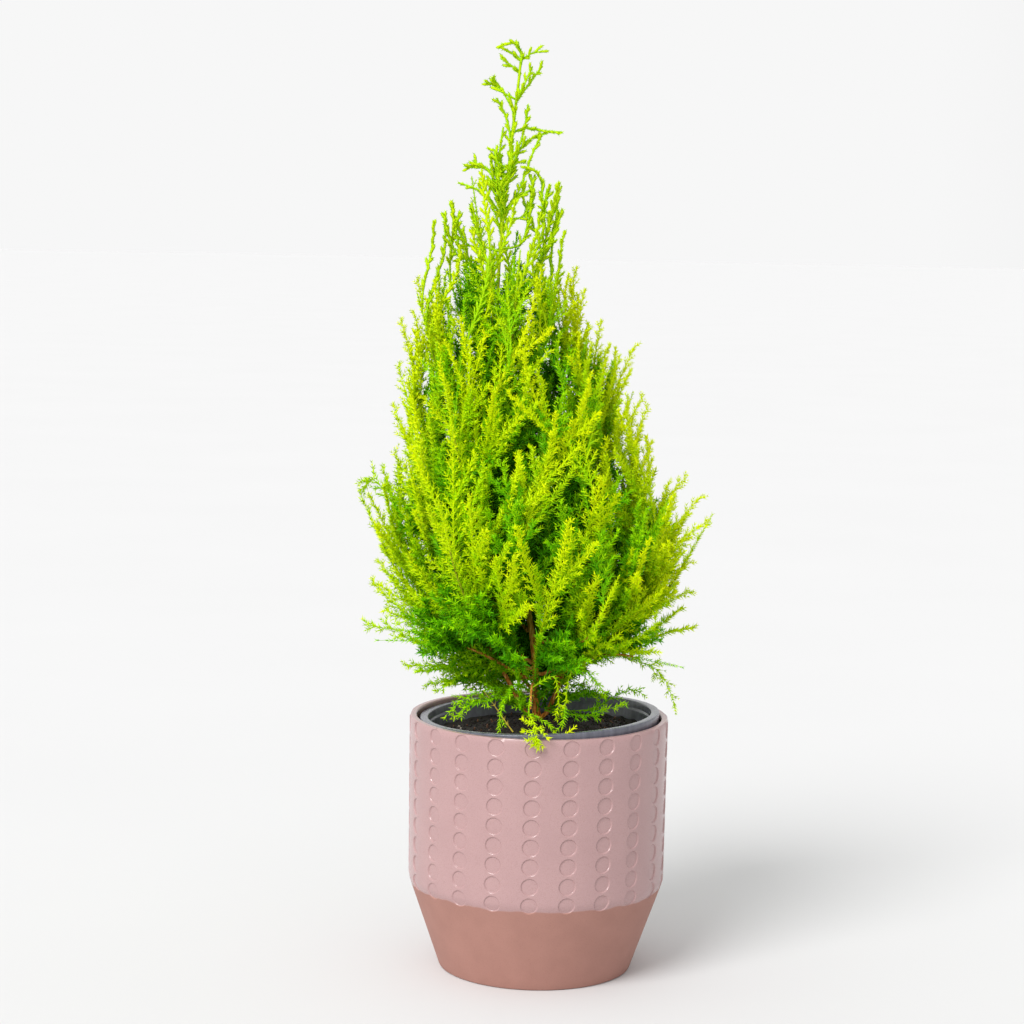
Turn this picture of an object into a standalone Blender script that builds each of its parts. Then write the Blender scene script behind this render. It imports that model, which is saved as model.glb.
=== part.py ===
"""A young lemon cypress in its plastic grow pot, which stands in a ceramic cover pot.

Lengths are in metres and +Z is up. The origin is the centre of the cover pot's flat underside,
-Y is the front, and +X is the plant's right as it is seen from the front.
"""

import math
import random
from collections import namedtuple

import bmesh
import bpy
from mathutils import Quaternion, Vector
from mathutils.bvhtree import BVHTree

# Driving dimensions of the cover pot
POT_HEIGHT = 0.15475
POT_RADIUS = 0.0785
POT_FOLD_HEIGHT = 0.0557
POT_FOLD_RADIUS = 0.0779
POT_FOOT_RADIUS = 0.0584
POT_WALL = 0.0045
POT_FLOOR = 0.007
POT_FLOOR_INSET = 0.00245
POT_EDGE = 0.0012
POT_FOLD_STEP = 0.0006
POT_FOLD_ROUND = 0.002
POT_LIP_POINTS = 5
TURN_STEPS = 36

# Driving dimensions of the grow pot, in its own leaning frame
TUB_HEIGHT = 0.145
TUB_RIM_RADIUS = 0.0728
TUB_RIM_WIDTH = 0.005
TUB_RIM_DEPTH = 0.009
TUB_FOOT_RADIUS = 0.049
TUB_WALL = 0.0013
TUB_EDGE = 0.0006
TUB_RIM_CENTRE = Vector((0.0003, 0.0003, 0.1556))
TUB_RISE_RIGHT = 0.042
TUB_RISE_BACK = -0.015

# Driving dimensions of the soil
SOIL_EDGE_DROP = 0.0112
SOIL_MOUND = 0.0054
SOIL_CREST_RADIUS = 0.018
SOIL_SLOPE_WIDTH = 0.016
SOIL_SLOPE_DROP = 0.35
SOIL_LEVEL_WIDTH = 0.006
SOIL_EDGE = 0.001
SOIL_GAP = 0.0005

# Driving dimensions of the trunk: height, place to the right, place to the back
TRUNK_BENDS = (
    (0.150, -0.0015, 0.010),
    (0.199, -0.0047, 0.008),
    (0.270, -0.0180, 0.005),
    (0.342, -0.0285, 0.002),
    (0.420, -0.0294, 0.000),
    (0.478, -0.0250, 0.000),
)
TRUNK_FOOT_RADIUS = 0.0021
TRUNK_TIP_RADIUS = 0.0007
TRUNK_FLARE = 0.0016
TRUNK_FLARE_HEIGHT = 0.006
TRUNK_POINTS = 22
LEADER_BENDS = ((0.4783, -0.0250), (0.498, -0.0233), (0.516, -0.0216), (0.534, -0.0197), (0.5425, -0.0190))
LEADER_TIP = Vector((-0.0265, 0.0, 0.5585))

# The crown's outline: height, its middle to the right, its reach to each side
CROWN = (
    (0.120, -0.008, 0.086),
    (0.160, -0.004, 0.090),
    (0.208, -0.006, 0.097),
    (0.240, -0.007, 0.096),
    (0.279, -0.002, 0.1037),
    (0.290, -0.0098, 0.1020),
    (0.325, -0.016, 0.077),
    (0.370, -0.017, 0.070),
    (0.395, -0.029, 0.054),
    (0.435, -0.031, 0.043),
    (0.468, -0.027, 0.032),
    (0.500, -0.023, 0.018),
    (0.560, -0.024, 0.011),
)

# Tiers of boughs: how many, the heights where they leave the trunk, the heights of their
# furthest tips, how steeply the lowest and highest tips rise, the first one's direction and
# its share of the tip heights, the share of a bough that is bare, and the size of its sprays
Tier = namedtuple("Tier", "name count start tip pitch first share bare size")
TIERS = (
    Tier("low", 5, (0.159, 0.176), (0.150, 0.236), (-42, 30), -90, 0.0, 0.34, 0.9),
    Tier("lower", 6, (0.156, 0.206), (0.236, 0.306), (50, 70), 180, 0.757, 0.34, 1.0),
    Tier("middle", 5, (0.206, 0.262), (0.312, 0.392), (68, 76), -54, 0.0, 0.28, 1.0),
    Tier("upper", 4, (0.290, 0.346), (0.392, 0.462), (72, 80), 20, 0.0, 0.26, 0.9),
    Tier("top", 3, (0.372, 0.412), (0.455, 0.492), (74, 80), -100, 0.0, 0.24, 0.7),
)
START_SHARE = 0.35
GOLDEN_SHARE = 0.618034
GOLDEN_ANGLE = math.radians(137.508)
BOUGH_RADIUS = 0.0013
BOUGH_TIP_RADIUS = 0.0008
BOUGH_RUN_OUT = 0.0025
BOUGH_GAP = 0.00036
BOUGH_SPREAD = 0.30
BOUGH_LIFT = 0.14
BOUGH_TURN_UP = 0.42
LIMB_POINTS = 14
ROOT_STEP = 0.004
ROOT_TRIES = 12
ROUTE_ROOM = 0.0045

# Twigs and their sprays of needles
CLEAR = 0.0003
TWIG_RADIUS = 0.0007
TWIG_LEAN = math.radians(46)
TWIG_UPTURN = 0.35
TWIGS_PER_MASS = 7
TWIG_TRIES = 4
TWIG_LENGTH = 0.012
SIDE_STALK = 0.003
SPRAY_LENGTH = 0.043
SPRAY_WIDTH = 0.0115
SPRAY_RINGS = ((0.20, 0.85), (0.46, 1.0), (0.74, 0.68))
SPRAY_LEAN = math.radians(42)
SPRAY_SHARES = (1.0, 0.72, 0.5)
TIP_SHARE = 0.8
CORE_RADIUS = 0.0125
CORE_RINGS = (
    (0.0, 0.08),
    (0.06, 0.10),
    (0.18, 0.80),
    (0.28, 0.50),
    (0.40, 1.0),
    (0.50, 0.55),
    (0.62, 0.85),
)
CORE_TIP_RINGS = ((0.72, 0.38), (0.80, 0.55), (0.90, 0.34))
CORE_CORNERS = 5
CORE_SHARES = (1.0, 0.8, 0.6, 0.4, 0.2)
LEADER_SIZE = 0.55
SPACE_MARGIN = 0.0012
TOUCH_GAP = 0.00036
CROWN_MARGIN = 0.002

# The room that the foliage leaves over the soil, over both rims and outside the cover pot
RIM_MARGIN = 0.003
POT_MARGIN = 0.0015
LOW_OVER_SOIL = 0.1535
LOW_OVER_RIMS = 0.1625
LOW_OUTSIDE = 0.115

# The growth rule's shares and spreads
FIRST_TWIG = 0.10
LAST_TWIG = 0.96
CORE_COVER = 1.1
SIDE_PLACES = (0.70, 0.90)
TWIG_SPREAD = (0.7, 1.2)
LEAN_SPREAD = (0.85, 1.15)
LENGTH_SPREAD = (0.85, 1.15)
FUSE_MERGE = 1e-7

# Colours, as they are seen
POT_PINK = (0.80, 0.66, 0.66)
TUB_GREY = (0.20, 0.20, 0.22)
SOIL_BROWN = (0.15, 0.12, 0.09)
BARK_BROWN = (0.42, 0.24, 0.13)
TWIG_GREEN = (0.30, 0.42, 0.08)
DEEP_GREEN = (0.24, 0.48, 0.02)
LIME_GREEN = (0.66, 0.80, 0.02)


def clear_scene():
    for thing in list(bpy.data.objects):
        bpy.data.objects.remove(thing, do_unlink=True)


def new_collection(name):
    collection = bpy.data.collections.new(name)
    bpy.context.scene.collection.children.link(collection)
    return collection


def linear(colour):
    return tuple(c / 12.92 if c <= 0.04045 else ((c + 0.055) / 1.055) ** 2.4 for c in colour)


def finish(name, colour, roughness):
    material = bpy.data.materials.new(name)
    material.use_nodes = True
    shader = material.node_tree.nodes["Principled BSDF"]
    shader.inputs["Base Color"].default_value = (*linear(colour), 1.0)
    shader.inputs["Roughness"].default_value = roughness
    shader.inputs["Metallic"].default_value = 0.0
    material.diffuse_color = (*colour, 1.0)
    return material


def mix(first, second, share):
    return tuple(a + (b - a) * share for a, b in zip(first, second))


def place(thing, material, collection):
    thing.data.materials.append(material)
    collection.objects.link(thing)
    return thing


# Turned pieces: the two pots and the soil


def turned(name, profile, steps):
    """A profile of (radius, height) pairs, swept once round the Z axis."""
    mesh = bpy.data.meshes.new(name)
    edges = [(i, i + 1) for i in range(len(profile) - 1)]
    mesh.from_pydata([(r, 0.0, z) for r, z in profile], edges, [])
    thing = bpy.data.objects.new(name, mesh)
    screw = thing.modifiers.new("turn", "SCREW")
    screw.steps = screw.render_steps = steps
    screw.use_merge_vertices = True
    screw.merge_threshold = 1e-5
    screw.use_smooth_shade = True
    return thing


def arc(centre, radius, start, end, count):
    """Points of a round edge, from one angle in degrees to another."""
    turns = [math.radians(start + (end - start) * i / (count - 1)) for i in range(count)]
    return [(centre[0] + radius * math.cos(a), centre[1] + radius * math.sin(a)) for a in turns]


def make_cover_pot(collection):
    lip = POT_WALL / 2
    inner_fold = POT_FOLD_RADIUS - POT_WALL
    inner_foot = POT_FOOT_RADIUS - POT_WALL + POT_FLOOR_INSET
    profile = [(0.0, POT_FLOOR), (inner_foot, POT_FLOOR)]
    profile += [(inner_fold, POT_FOLD_HEIGHT + POT_FOLD_ROUND / 2)]
    profile += arc((POT_RADIUS - lip, POT_HEIGHT - lip), lip, 180, 0, POT_LIP_POINTS)
    profile += [(POT_FOLD_RADIUS, POT_FOLD_HEIGHT + POT_FOLD_ROUND)]
    profile += [(POT_FOLD_RADIUS - POT_FOLD_STEP, POT_FOLD_HEIGHT - POT_FOLD_STEP)]
    profile += [(POT_FOOT_RADIUS + POT_EDGE / 2, POT_EDGE)]
    profile += [(POT_FOOT_RADIUS - POT_EDGE, 0.0), (0.0, 0.0)]
    pot = turned("cover_pot", profile, TURN_STEPS)
    return place(pot, finish("cover_pot_glaze", POT_PINK, 0.35), collection)


def tub_radius(height):
    """The grow pot's outer wall at a height above its foot."""
    top = TUB_RIM_RADIUS - TUB_RIM_WIDTH + TUB_WALL
    return TUB_FOOT_RADIUS + (top - TUB_FOOT_RADIUS) * height / TUB_HEIGHT


def tub_axis():
    return Vector((-TUB_RISE_RIGHT, -TUB_RISE_BACK, 1.0)).normalized()


def make_tub_seat(collection):
    """The empty that gives the grow pot and its soil their lean."""
    seat = bpy.data.objects.new("grow_pot_seat", None)
    seat.location = TUB_RIM_CENTRE - tub_axis() * TUB_HEIGHT
    seat.rotation_euler = Vector((0, 0, 1)).rotation_difference(tub_axis()).to_euler()
    collection.objects.link(seat)
    return seat


def make_grow_pot(seat, collection):
    inner = TUB_RIM_RADIUS - TUB_RIM_WIDTH
    skirt = TUB_HEIGHT - TUB_RIM_DEPTH
    profile = [(0.0, TUB_WALL), (TUB_FOOT_RADIUS - TUB_WALL, TUB_WALL)]
    profile += [(inner, TUB_HEIGHT - TUB_EDGE), (inner + TUB_EDGE, TUB_HEIGHT)]
    profile += [(TUB_RIM_RADIUS - TUB_EDGE, TUB_HEIGHT), (TUB_RIM_RADIUS, TUB_HEIGHT - TUB_EDGE)]
    profile += [(TUB_RIM_RADIUS - TUB_EDGE, skirt), (tub_radius(skirt), skirt)]
    profile += [(TUB_FOOT_RADIUS, 0.0), (0.0, 0.0)]
    tub = turned("grow_pot", profile, TURN_STEPS)
    tub.parent = seat
    return place(tub, finish("grow_pot_plastic", TUB_GREY, 0.45), collection)


def soil_top():
    """The crest of the soil, above the grow pot's foot."""
    return TUB_HEIGHT - SOIL_EDGE_DROP + SOIL_MOUND


def make_soil(seat, collection):
    edge = TUB_HEIGHT - SOIL_EDGE_DROP
    wall = TUB_WALL + SOIL_GAP
    floor = TUB_WALL + CLEAR
    slope = SOIL_CREST_RADIUS + SOIL_SLOPE_WIDTH
    profile = [(0.0, soil_top()), (SOIL_CREST_RADIUS, soil_top())]
    profile += [(slope, soil_top() - SOIL_MOUND * SOIL_SLOPE_DROP)]
    profile += [(tub_radius(edge) - wall - SOIL_LEVEL_WIDTH, edge)]
    profile += [(tub_radius(edge) - wall, edge - SOIL_EDGE)]
    profile += [(tub_radius(floor) - wall, floor), (0.0, floor)]
    soil = turned("soil", profile, TURN_STEPS)
    soil.parent = seat
    return place(soil, finish("potting_soil", SOIL_BROWN, 0.95), collection)


# Limbs: the trunk and the boughs


def smooth_path(points, count):
    """Evenly numbered points of a soft curve that passes through the given ones."""
    points = [Vector(p) for p in points]
    ends = [points[0] * 2 - points[1], *points, points[-1] * 2 - points[-2]]
    path = []
    for i in range(count):
        along = (len(points) - 1) * i / (count - 1)
        k = min(int(along), len(points) - 2)
        t = along - k
        a, b, c, d = ends[k : k + 4]
        path.append(
            (b * 2 + (c - a) * t + (a * 2 - b * 5 + c * 4 - d) * t**2 + (b * 3 - a - c * 3 + d) * t**3) / 2
        )
    return path


def foot_point(tub):
    """Where the trunk is cut, just over the soil's crest."""
    x, y = TRUNK_BENDS[0][1:]
    crest = tub.matrix_world @ Vector((x, y, soil_top()))
    tilt = abs(TUB_RISE_RIGHT) + abs(TUB_RISE_BACK)
    return Vector((x, y, crest.z + CLEAR + tilt * (TRUNK_FOOT_RADIUS + TRUNK_FLARE)))


def trunk_path(foot):
    bends = [Vector((x, y, z)) for z, x, y in TRUNK_BENDS[1:]]
    straight = foot + Vector((0.0, 0.0, TRUNK_FLARE_HEIGHT * 0.4))
    return [foot, *smooth_path([straight, *bends], TRUNK_POINTS)]


def trunk_radius(height, foot_height):
    top = TRUNK_BENDS[-1][0]
    share = min(max((height - foot_height) / (top - foot_height), 0.0), 1.0)
    flare = TRUNK_FLARE * math.exp(-(height - foot_height) / (TRUNK_FLARE_HEIGHT * 0.5))
    return TRUNK_FOOT_RADIUS + (TRUNK_TIP_RADIUS - TRUNK_FOOT_RADIUS) * share**0.9 + flare


def limb(name, path, radii, sides_level, material, collection):
    """A tapering limb with flat ends, as a curve whose points carry its radius."""
    curve = bpy.data.curves.new(name, "CURVE")
    curve.dimensions = "3D"
    curve.bevel_depth = 0.001
    curve.bevel_resolution = sides_level
    curve.use_fill_caps = True
    spline = curve.splines.new("POLY")
    spline.points.add(len(path) - 1)
    for point, place_at, radius in zip(spline.points, path, radii):
        point.co = (*place_at, 1.0)
        point.radius = radius / curve.bevel_depth
    return place(bpy.data.objects.new(name, curve), material, collection)


def make_trunk(path, collection):
    radii = [trunk_radius(p.z, path[0].z) for p in path]
    return limb("trunk", path, radii, 2, finish("trunk_bark", BARK_BROWN, 0.85), collection)


def crown_at(height):
    """The crown's middle and its reach at a height."""
    for low, high in zip(CROWN, CROWN[1:]):
        if height <= high[0] or high is CROWN[-1]:
            share = min(max((height - low[0]) / (high[0] - low[0]), 0.0), 1.0)
            return low[1] + (high[1] - low[1]) * share, low[2] + (high[2] - low[2]) * share
    return CROWN[-1][1:]


def between(pair, share):
    return pair[0] + (pair[1] - pair[0]) * share


def point_at_height(path, height):
    for low, high in zip(path, path[1:]):
        if high.z >= height:
            return low.lerp(high, (height - low.z) / (high.z - low.z))
    return path[-1]


def bezier(a, b, c, d, count):
    path = []
    for i in range(count):
        t = i / (count - 1)
        s = 1 - t
        path.append(a * s**3 + b * (3 * s * s * t) + c * (3 * s * t * t) + d * t**3)
    return path


def tip_length(tier):
    """The length of a bough's last spray."""
    return SPRAY_LENGTH * tier.size * TIP_SHARE


def bough_route(trunk, tier, k, lift):
    """One bough's path from the trunk to the root of its last spray, and that spray's direction."""
    low_share = (k * GOLDEN_SHARE + START_SHARE) % 1.0
    tip_share = (k * GOLDEN_SHARE + tier.share) % 1.0
    start_height = between(tier.start, low_share) + lift
    tip_height = between(tier.tip, tip_share)
    turn = math.radians(tier.first - 360 * k / tier.count)
    middle, reach = crown_at(tip_height)
    outward = Vector((math.cos(turn), math.sin(turn), 0.0))
    furthest = Vector((middle, 0.0, tip_height)) + outward * reach
    rise = math.radians(between(tier.pitch, tip_share))
    heading = outward * math.cos(rise) + Vector((0, 0, math.sin(rise)))
    root = point_at_height(trunk, start_height)
    away = Vector((furthest.x - root.x, furthest.y - root.y, 0.0)).normalized()
    first = root + away * (trunk_radius(root.z, trunk[0].z) + BOUGH_GAP)
    second = first + away * BOUGH_RUN_OUT
    end = furthest - heading * tip_length(tier)
    span = (end - second).length
    rising = second + away * span * BOUGH_SPREAD + Vector((0, 0, span * BOUGH_LIFT))
    route = bezier(second, rising, end - heading * span * BOUGH_TURN_UP, end, LIMB_POINTS)
    return [first, *route], heading


def clear_route(trunk, tier, k, routes):
    """A bough's path, with its root raised step by step until it clears the boughs before it."""
    for step in range(ROOT_TRIES):
        route, heading = bough_route(trunk, tier, k, step * ROOT_STEP)
        near = min((distance_to_path(p, other) for other in routes for p in route), default=1.0)
        if near > ROUTE_ROOM:
            break
    return route, heading


def split_route(route, bare):
    """The bare bough, and the stem that goes on inside the foliage just clear of it."""
    cut = max(2, round((len(route) - 1) * bare))
    bough = route[: cut + 1]
    onward = (route[cut + 1] - route[cut]).normalized()
    return bough, [route[cut] + onward * CLEAR, *route[cut + 1 :]]


def make_bough(name, path, collection):
    step = 1.0 / (len(path) - 1)
    radii = [BOUGH_RADIUS + (BOUGH_TIP_RADIUS - BOUGH_RADIUS) * i * step for i in range(len(path))]
    tone = mix(BARK_BROWN, TWIG_GREEN, 0.5)
    return limb(name, path, radii, 1, finish(name + "_bark", tone, 0.8), collection)


# Foliage: three-sided twigs and toothed sprays, grown by a seeded rule

Shape = namedtuple("Shape", "points faces")
Mass = namedtuple("Mass", "name stem tip size seed")


def lofted(centres, radii, corners=3, step=0.0, tip=None, roll=0.0):
    """A closed body of rings along a path. Each ring is turned a step on from the last."""
    heading = (centres[1] - centres[0]).normalized()
    side = heading.orthogonal().normalized()
    points, rings = [], []
    for i, (centre, radius) in enumerate(zip(centres, radii)):
        ahead = centres[min(i + 1, len(centres) - 1)] - centres[max(i - 1, 0)]
        onward = ahead.normalized()
        side = heading.rotation_difference(onward) @ side
        heading = onward
        turn = roll + step * i
        rings.append(range(len(points), len(points) + corners))
        for j in range(corners):
            spin = Quaternion(heading, turn + math.tau * j / corners)
            points.append(centre + (spin @ side) * radius)
    faces = [tuple(reversed(rings[0]))]
    for a, b in zip(rings, rings[1:]):
        for j in range(corners):
            k = (j + 1) % corners
            faces += [(a[j], a[k], b[j]), (a[k], b[k], b[j])]
    if tip is None:
        faces.append(tuple(rings[-1]))
    else:
        points.append(tip)
        last = rings[-1]
        faces += [(last[j], last[(j + 1) % corners], len(points) - 1) for j in range(corners)]
    return Shape(points, faces)


def shoot(root, heading, stalk, length, size, roll):
    """A three-sided twig that ends in a spray: whorls of three points round a slim core."""
    base = root + heading * stalk
    centres = [root, base, *(base + heading * length * along for along, _ in SPRAY_RINGS)]
    wide = SPRAY_WIDTH * size / 2
    radii = [TWIG_RADIUS, TWIG_RADIUS, *(wide * share for _, share in SPRAY_RINGS)]
    return lofted(centres, radii, 3, math.pi / 3, base + heading * length, roll)


def core_shape(mass, share):
    """The middle of a mass: its stem, the dense needles round it, and its furthest spray."""
    path = [*mass.stem, mass.tip]
    rings = [(along, wide * share) for along, wide in CORE_RINGS[2:]] + list(CORE_TIP_RINGS)
    rings = list(CORE_RINGS[:2]) + rings
    centres = [along_path(path, along)[0] for along, _ in rings]
    radii = [CORE_RADIUS * mass.size * wide for _, wide in rings]
    return lofted(centres, radii, CORE_CORNERS, math.pi / CORE_CORNERS, mass.tip)


def turned_away(heading, lean, turn):
    """A direction that leans from a heading, to the side that the turn gives."""
    side = heading.orthogonal().normalized()
    side = Quaternion(heading, turn) @ side
    return (heading * math.cos(lean) + side * math.sin(lean)).normalized()


def upturned(heading, share):
    return (heading + Vector((0, 0, share))).normalized()


def distance_to_path(point, path):
    nearest = 1.0
    for a, b in zip(path, path[1:]):
        run = b - a
        t = min(max((point - a).dot(run) / run.length_squared, 0.0), 1.0)
        nearest = min(nearest, (point - a - run * t).length)
    return nearest


def inside_crown(point):
    middle, reach = crown_at(point.z)
    return point.z < LEADER_TIP.z and math.hypot(point.x - middle, point.y) < reach + CROWN_MARGIN


def over_the_pot(point):
    """True where a point is clear of the soil and of both rims."""
    radius = math.hypot(point.x, point.y)
    if radius < TUB_RIM_RADIUS - TUB_RIM_WIDTH - RIM_MARGIN:
        return point.z > LOW_OVER_SOIL
    if radius < POT_RADIUS + POT_MARGIN:
        return point.z > LOW_OVER_RIMS
    return point.z > LOW_OUTSIDE


class Space:
    """The room that is left to one mass: near its own stem, in the crown, clear of the rest."""

    def __init__(self, mass, masses, built):
        self.own = mass.stem
        self.others = [other.stem for other in masses if other is not mass]
        self.tree = tree_of([shape for name in built if name != mass.name for shape in built[name]])
        self.grown = []

    def own_side(self, point):
        reach = distance_to_path(point, self.own) + SPACE_MARGIN
        return all(distance_to_path(point, path) > reach for path in self.others)

    def clear(self, shape):
        """True where a shape touches no limb and no other mass."""
        if any(self.tree.find_nearest(point, TOUCH_GAP)[0] for point in shape.points):
            return False
        return not self.tree.overlap(tree_of([shape]))

    def takes(self, shape, joined):
        """True where a twig or spray fits: only its thin root may touch what it grows from."""
        if not inside_crown(shape.points[-1]):
            return False
        if not all(over_the_pot(point) for point in shape.points):
            return False
        if not self.own_side((shape.points[0] + shape.points[-1]) / 2):
            return False
        whole, head = tree_of([shape]), tree_of([head_of(shape)])
        for piece, tree, piece_head in self.grown:
            if piece not in joined and tree.overlap(whole):
                return False
            if piece in joined and (tree.overlap(head) or piece_head.overlap(whole)):
                return False
        return self.clear(shape)

    def add(self, shape, head):
        self.grown.append((shape, tree_of([shape]), tree_of([head])))


def head_of(shape):
    """The needles of a shoot, without its bare twig."""
    return Shape(shape.points, [face for face in shape.faces if min(face) >= 6])


def tree_of(shapes):
    points, faces = [], []
    for shape in shapes:
        faces += [tuple(i + len(points) for i in face) for face in shape.faces]
        points += shape.points
    return BVHTree.FromPolygons(points, faces)


def along_path(path, share):
    """A point on a path and the path's direction there."""
    place_at = share * (len(path) - 1)
    k = min(int(place_at), len(path) - 2)
    return path[k].lerp(path[k + 1], place_at - k), (path[k + 1] - path[k]).normalized()


def grow(mass, space, core):
    """The twigs and sprays that one mass has room for, round its core."""
    rng = random.Random(mass.seed)
    space.add(core, Shape([], []))
    turn = rng.uniform(0, math.tau)
    for k in range(TWIGS_PER_MASS):
        share = between((FIRST_TWIG, LAST_TWIG), k / (TWIGS_PER_MASS - 1))
        root, onward = along_path(mass.stem, share)
        stalk = (CORE_RADIUS * CORE_COVER + TWIG_LENGTH * rng.uniform(*TWIG_SPREAD)) * mass.size
        for _ in range(TWIG_TRIES):
            turn += GOLDEN_ANGLE
            lean = TWIG_LEAN * rng.uniform(*LEAN_SPREAD)
            heading = upturned(turned_away(onward, lean, turn), TWIG_UPTURN)
            twig = add_shoot(root, heading, stalk, mass, [core], rng, space)
            if twig:
                break
        else:
            continue
        for side, along in enumerate(SIDE_PLACES):
            lean = SPRAY_LEAN * rng.uniform(*LEAN_SPREAD)
            off = upturned(turned_away(heading, lean, turn + math.pi * side), TWIG_UPTURN)
            base = root + heading * stalk * along
            add_shoot(base, off, SIDE_STALK * mass.size, mass, [twig], rng, space)
    return [shape for shape, _, _ in space.grown]


def add_shoot(root, heading, stalk, mass, joined, rng, space):
    """A shoot at full length where there is room, or a shorter one, or none."""
    length = SPRAY_LENGTH * mass.size * rng.uniform(*LENGTH_SPREAD)
    roll = rng.uniform(0, math.tau)
    for share in SPRAY_SHARES:
        shape = shoot(root, heading, stalk, length * share, mass.size, roll)
        if space.takes(shape, joined):
            space.add(shape, head_of(shape))
            return shape
    return None


def mesh_object(name, shape):
    mesh = bpy.data.meshes.new(name)
    mesh.from_pydata(shape.points, [], shape.faces)
    mesh.update()
    return bpy.data.objects.new(name, mesh)


def fused(name, shapes, collection):
    """All the shapes of one mass, joined by one Boolean union."""
    holder = new_collection(name + "_pieces")
    for i, shape in enumerate(shapes[1:]):
        holder.objects.link(mesh_object(f"{name}_piece_{i}", shape))
    thing = mesh_object(name, shapes[0])
    collection.objects.link(thing)
    for solver in ("EXACT", "MANIFOLD"):
        joined = united(thing, holder, solver)
        if closed_body(joined):
            break
    thing.data = joined
    for piece in list(holder.objects):
        bpy.data.objects.remove(piece, do_unlink=True)
    bpy.data.collections.remove(holder)
    return thing


def united(thing, holder, solver):
    """The mesh that the union of an object and a collection gives."""
    union = thing.modifiers.new("fuse", "BOOLEAN")
    union.operation = "UNION"
    union.operand_type = "COLLECTION"
    union.collection = holder
    union.solver = solver
    graph = bpy.context.evaluated_depsgraph_get()
    graph.update()
    joined = bpy.data.meshes.new_from_object(thing.evaluated_get(graph))
    thing.modifiers.remove(union)
    keep_largest(joined)
    return joined


def keep_largest(mesh):
    """Drops loose scraps and the walls of sealed hollows."""
    bm = bmesh.new()
    bm.from_mesh(mesh)
    bmesh.ops.dissolve_degenerate(bm, edges=bm.edges, dist=FUSE_MERGE)
    bmesh.ops.triangulate(bm, faces=bm.faces)
    islands, seen = [], set()
    for vert in bm.verts:
        if vert in seen:
            continue
        island, front = set(), [vert]
        while front:
            v = front.pop()
            if v not in island:
                island.add(v)
                front += [edge.other_vert(v) for edge in v.link_edges]
        seen |= island
        islands.append(island)
    islands.sort(key=len)
    scraps = [v for island in islands[:-1] for v in island]
    bmesh.ops.delete(bm, geom=scraps, context="VERTS")
    bm.to_mesh(mesh)
    bm.free()


def closed_body(mesh):
    """True where each edge has two faces."""
    sides = [0] * len(mesh.edges)
    for loop in mesh.loops:
        sides[loop.edge_index] += 1
    return all(count == 2 for count in sides)


def shape_of(thing):
    """The evaluated mesh of a finished object, as it stands."""
    graph = bpy.context.evaluated_depsgraph_get()
    evaluated = thing.evaluated_get(graph)
    mesh = evaluated.to_mesh()
    points = [evaluated.matrix_world @ v.co for v in mesh.vertices]
    faces = [tuple(p.vertices) for p in mesh.polygons]
    evaluated.to_mesh_clear()
    return Shape(points, faces)


def leader_stem(trunk):
    bends = [Vector((x, 0.0, z)) for z, x in LEADER_BENDS]
    onward = (trunk[-1] - trunk[-2]).normalized()
    return [trunk[-1] + onward * CLEAR, *smooth_path(bends, 5)[1:]]


def build_plant(collection, tub):
    trunk = trunk_path(foot_point(tub))
    limbs = [make_trunk(trunk, collection)]
    masses, routes = [], []
    for tier in TIERS:
        for k in range(tier.count):
            route, heading = clear_route(trunk, tier, k, routes)
            routes.append(route)
            bough, stem = split_route(route, tier.bare)
            label = f"{tier.name}_{k + 1}"
            limbs.append(make_bough("bough_" + label, bough, collection))
            tip = stem[-1] + heading * tip_length(tier)
            masses.append(Mass("foliage_" + label, stem, tip, tier.size, len(masses) + 11))
    masses.append(Mass("foliage_leader", leader_stem(trunk), LEADER_TIP, LEADER_SIZE, 5))
    bpy.context.view_layer.update()
    built = {thing.name: [shape_of(thing)] for thing in limbs}
    for mass in masses:
        built[mass.name] = [clear_core(mass, Space(mass, masses, built))]
    for mass in masses:
        built[mass.name] = grow(mass, Space(mass, masses, built), built[mass.name][0])
        make_mass(mass, built[mass.name], collection)


def clear_core(mass, space):
    """The fullest core that stays clear of the trunk, the boughs and the other masses."""
    for share in CORE_SHARES:
        core = core_shape(mass, share)
        if space.clear(core):
            break
    return core


def make_mass(mass, shapes, collection):
    thing = fused(mass.name, shapes, collection)
    tone = mix(DEEP_GREEN, LIME_GREEN, 0.25 + 0.5 * ((mass.seed * GOLDEN_SHARE) % 1.0))
    thing.data.materials.append(finish(mass.name + "_needles", tone, 0.6))


def main():
    clear_scene()
    collection = new_collection("lemon_cypress")
    make_cover_pot(collection)
    seat = make_tub_seat(collection)
    tub = make_grow_pot(seat, collection)
    make_soil(seat, collection)
    bpy.context.view_layer.update()
    build_plant(collection, tub)


main()
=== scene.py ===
"""A young lemon cypress in its plastic grow pot, set in a cover pot with pressed discs.

Lengths are in metres and +Z is up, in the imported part's frame: the origin is the centre of the
cover pot's underside, -Y is the front, and +X is the plant's right as it is seen from the front.
"""

import math
import random

import bpy
import numpy as np
from mathutils import Matrix, Quaternion, Vector, noise
from mathutils.kdtree import KDTree


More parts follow.
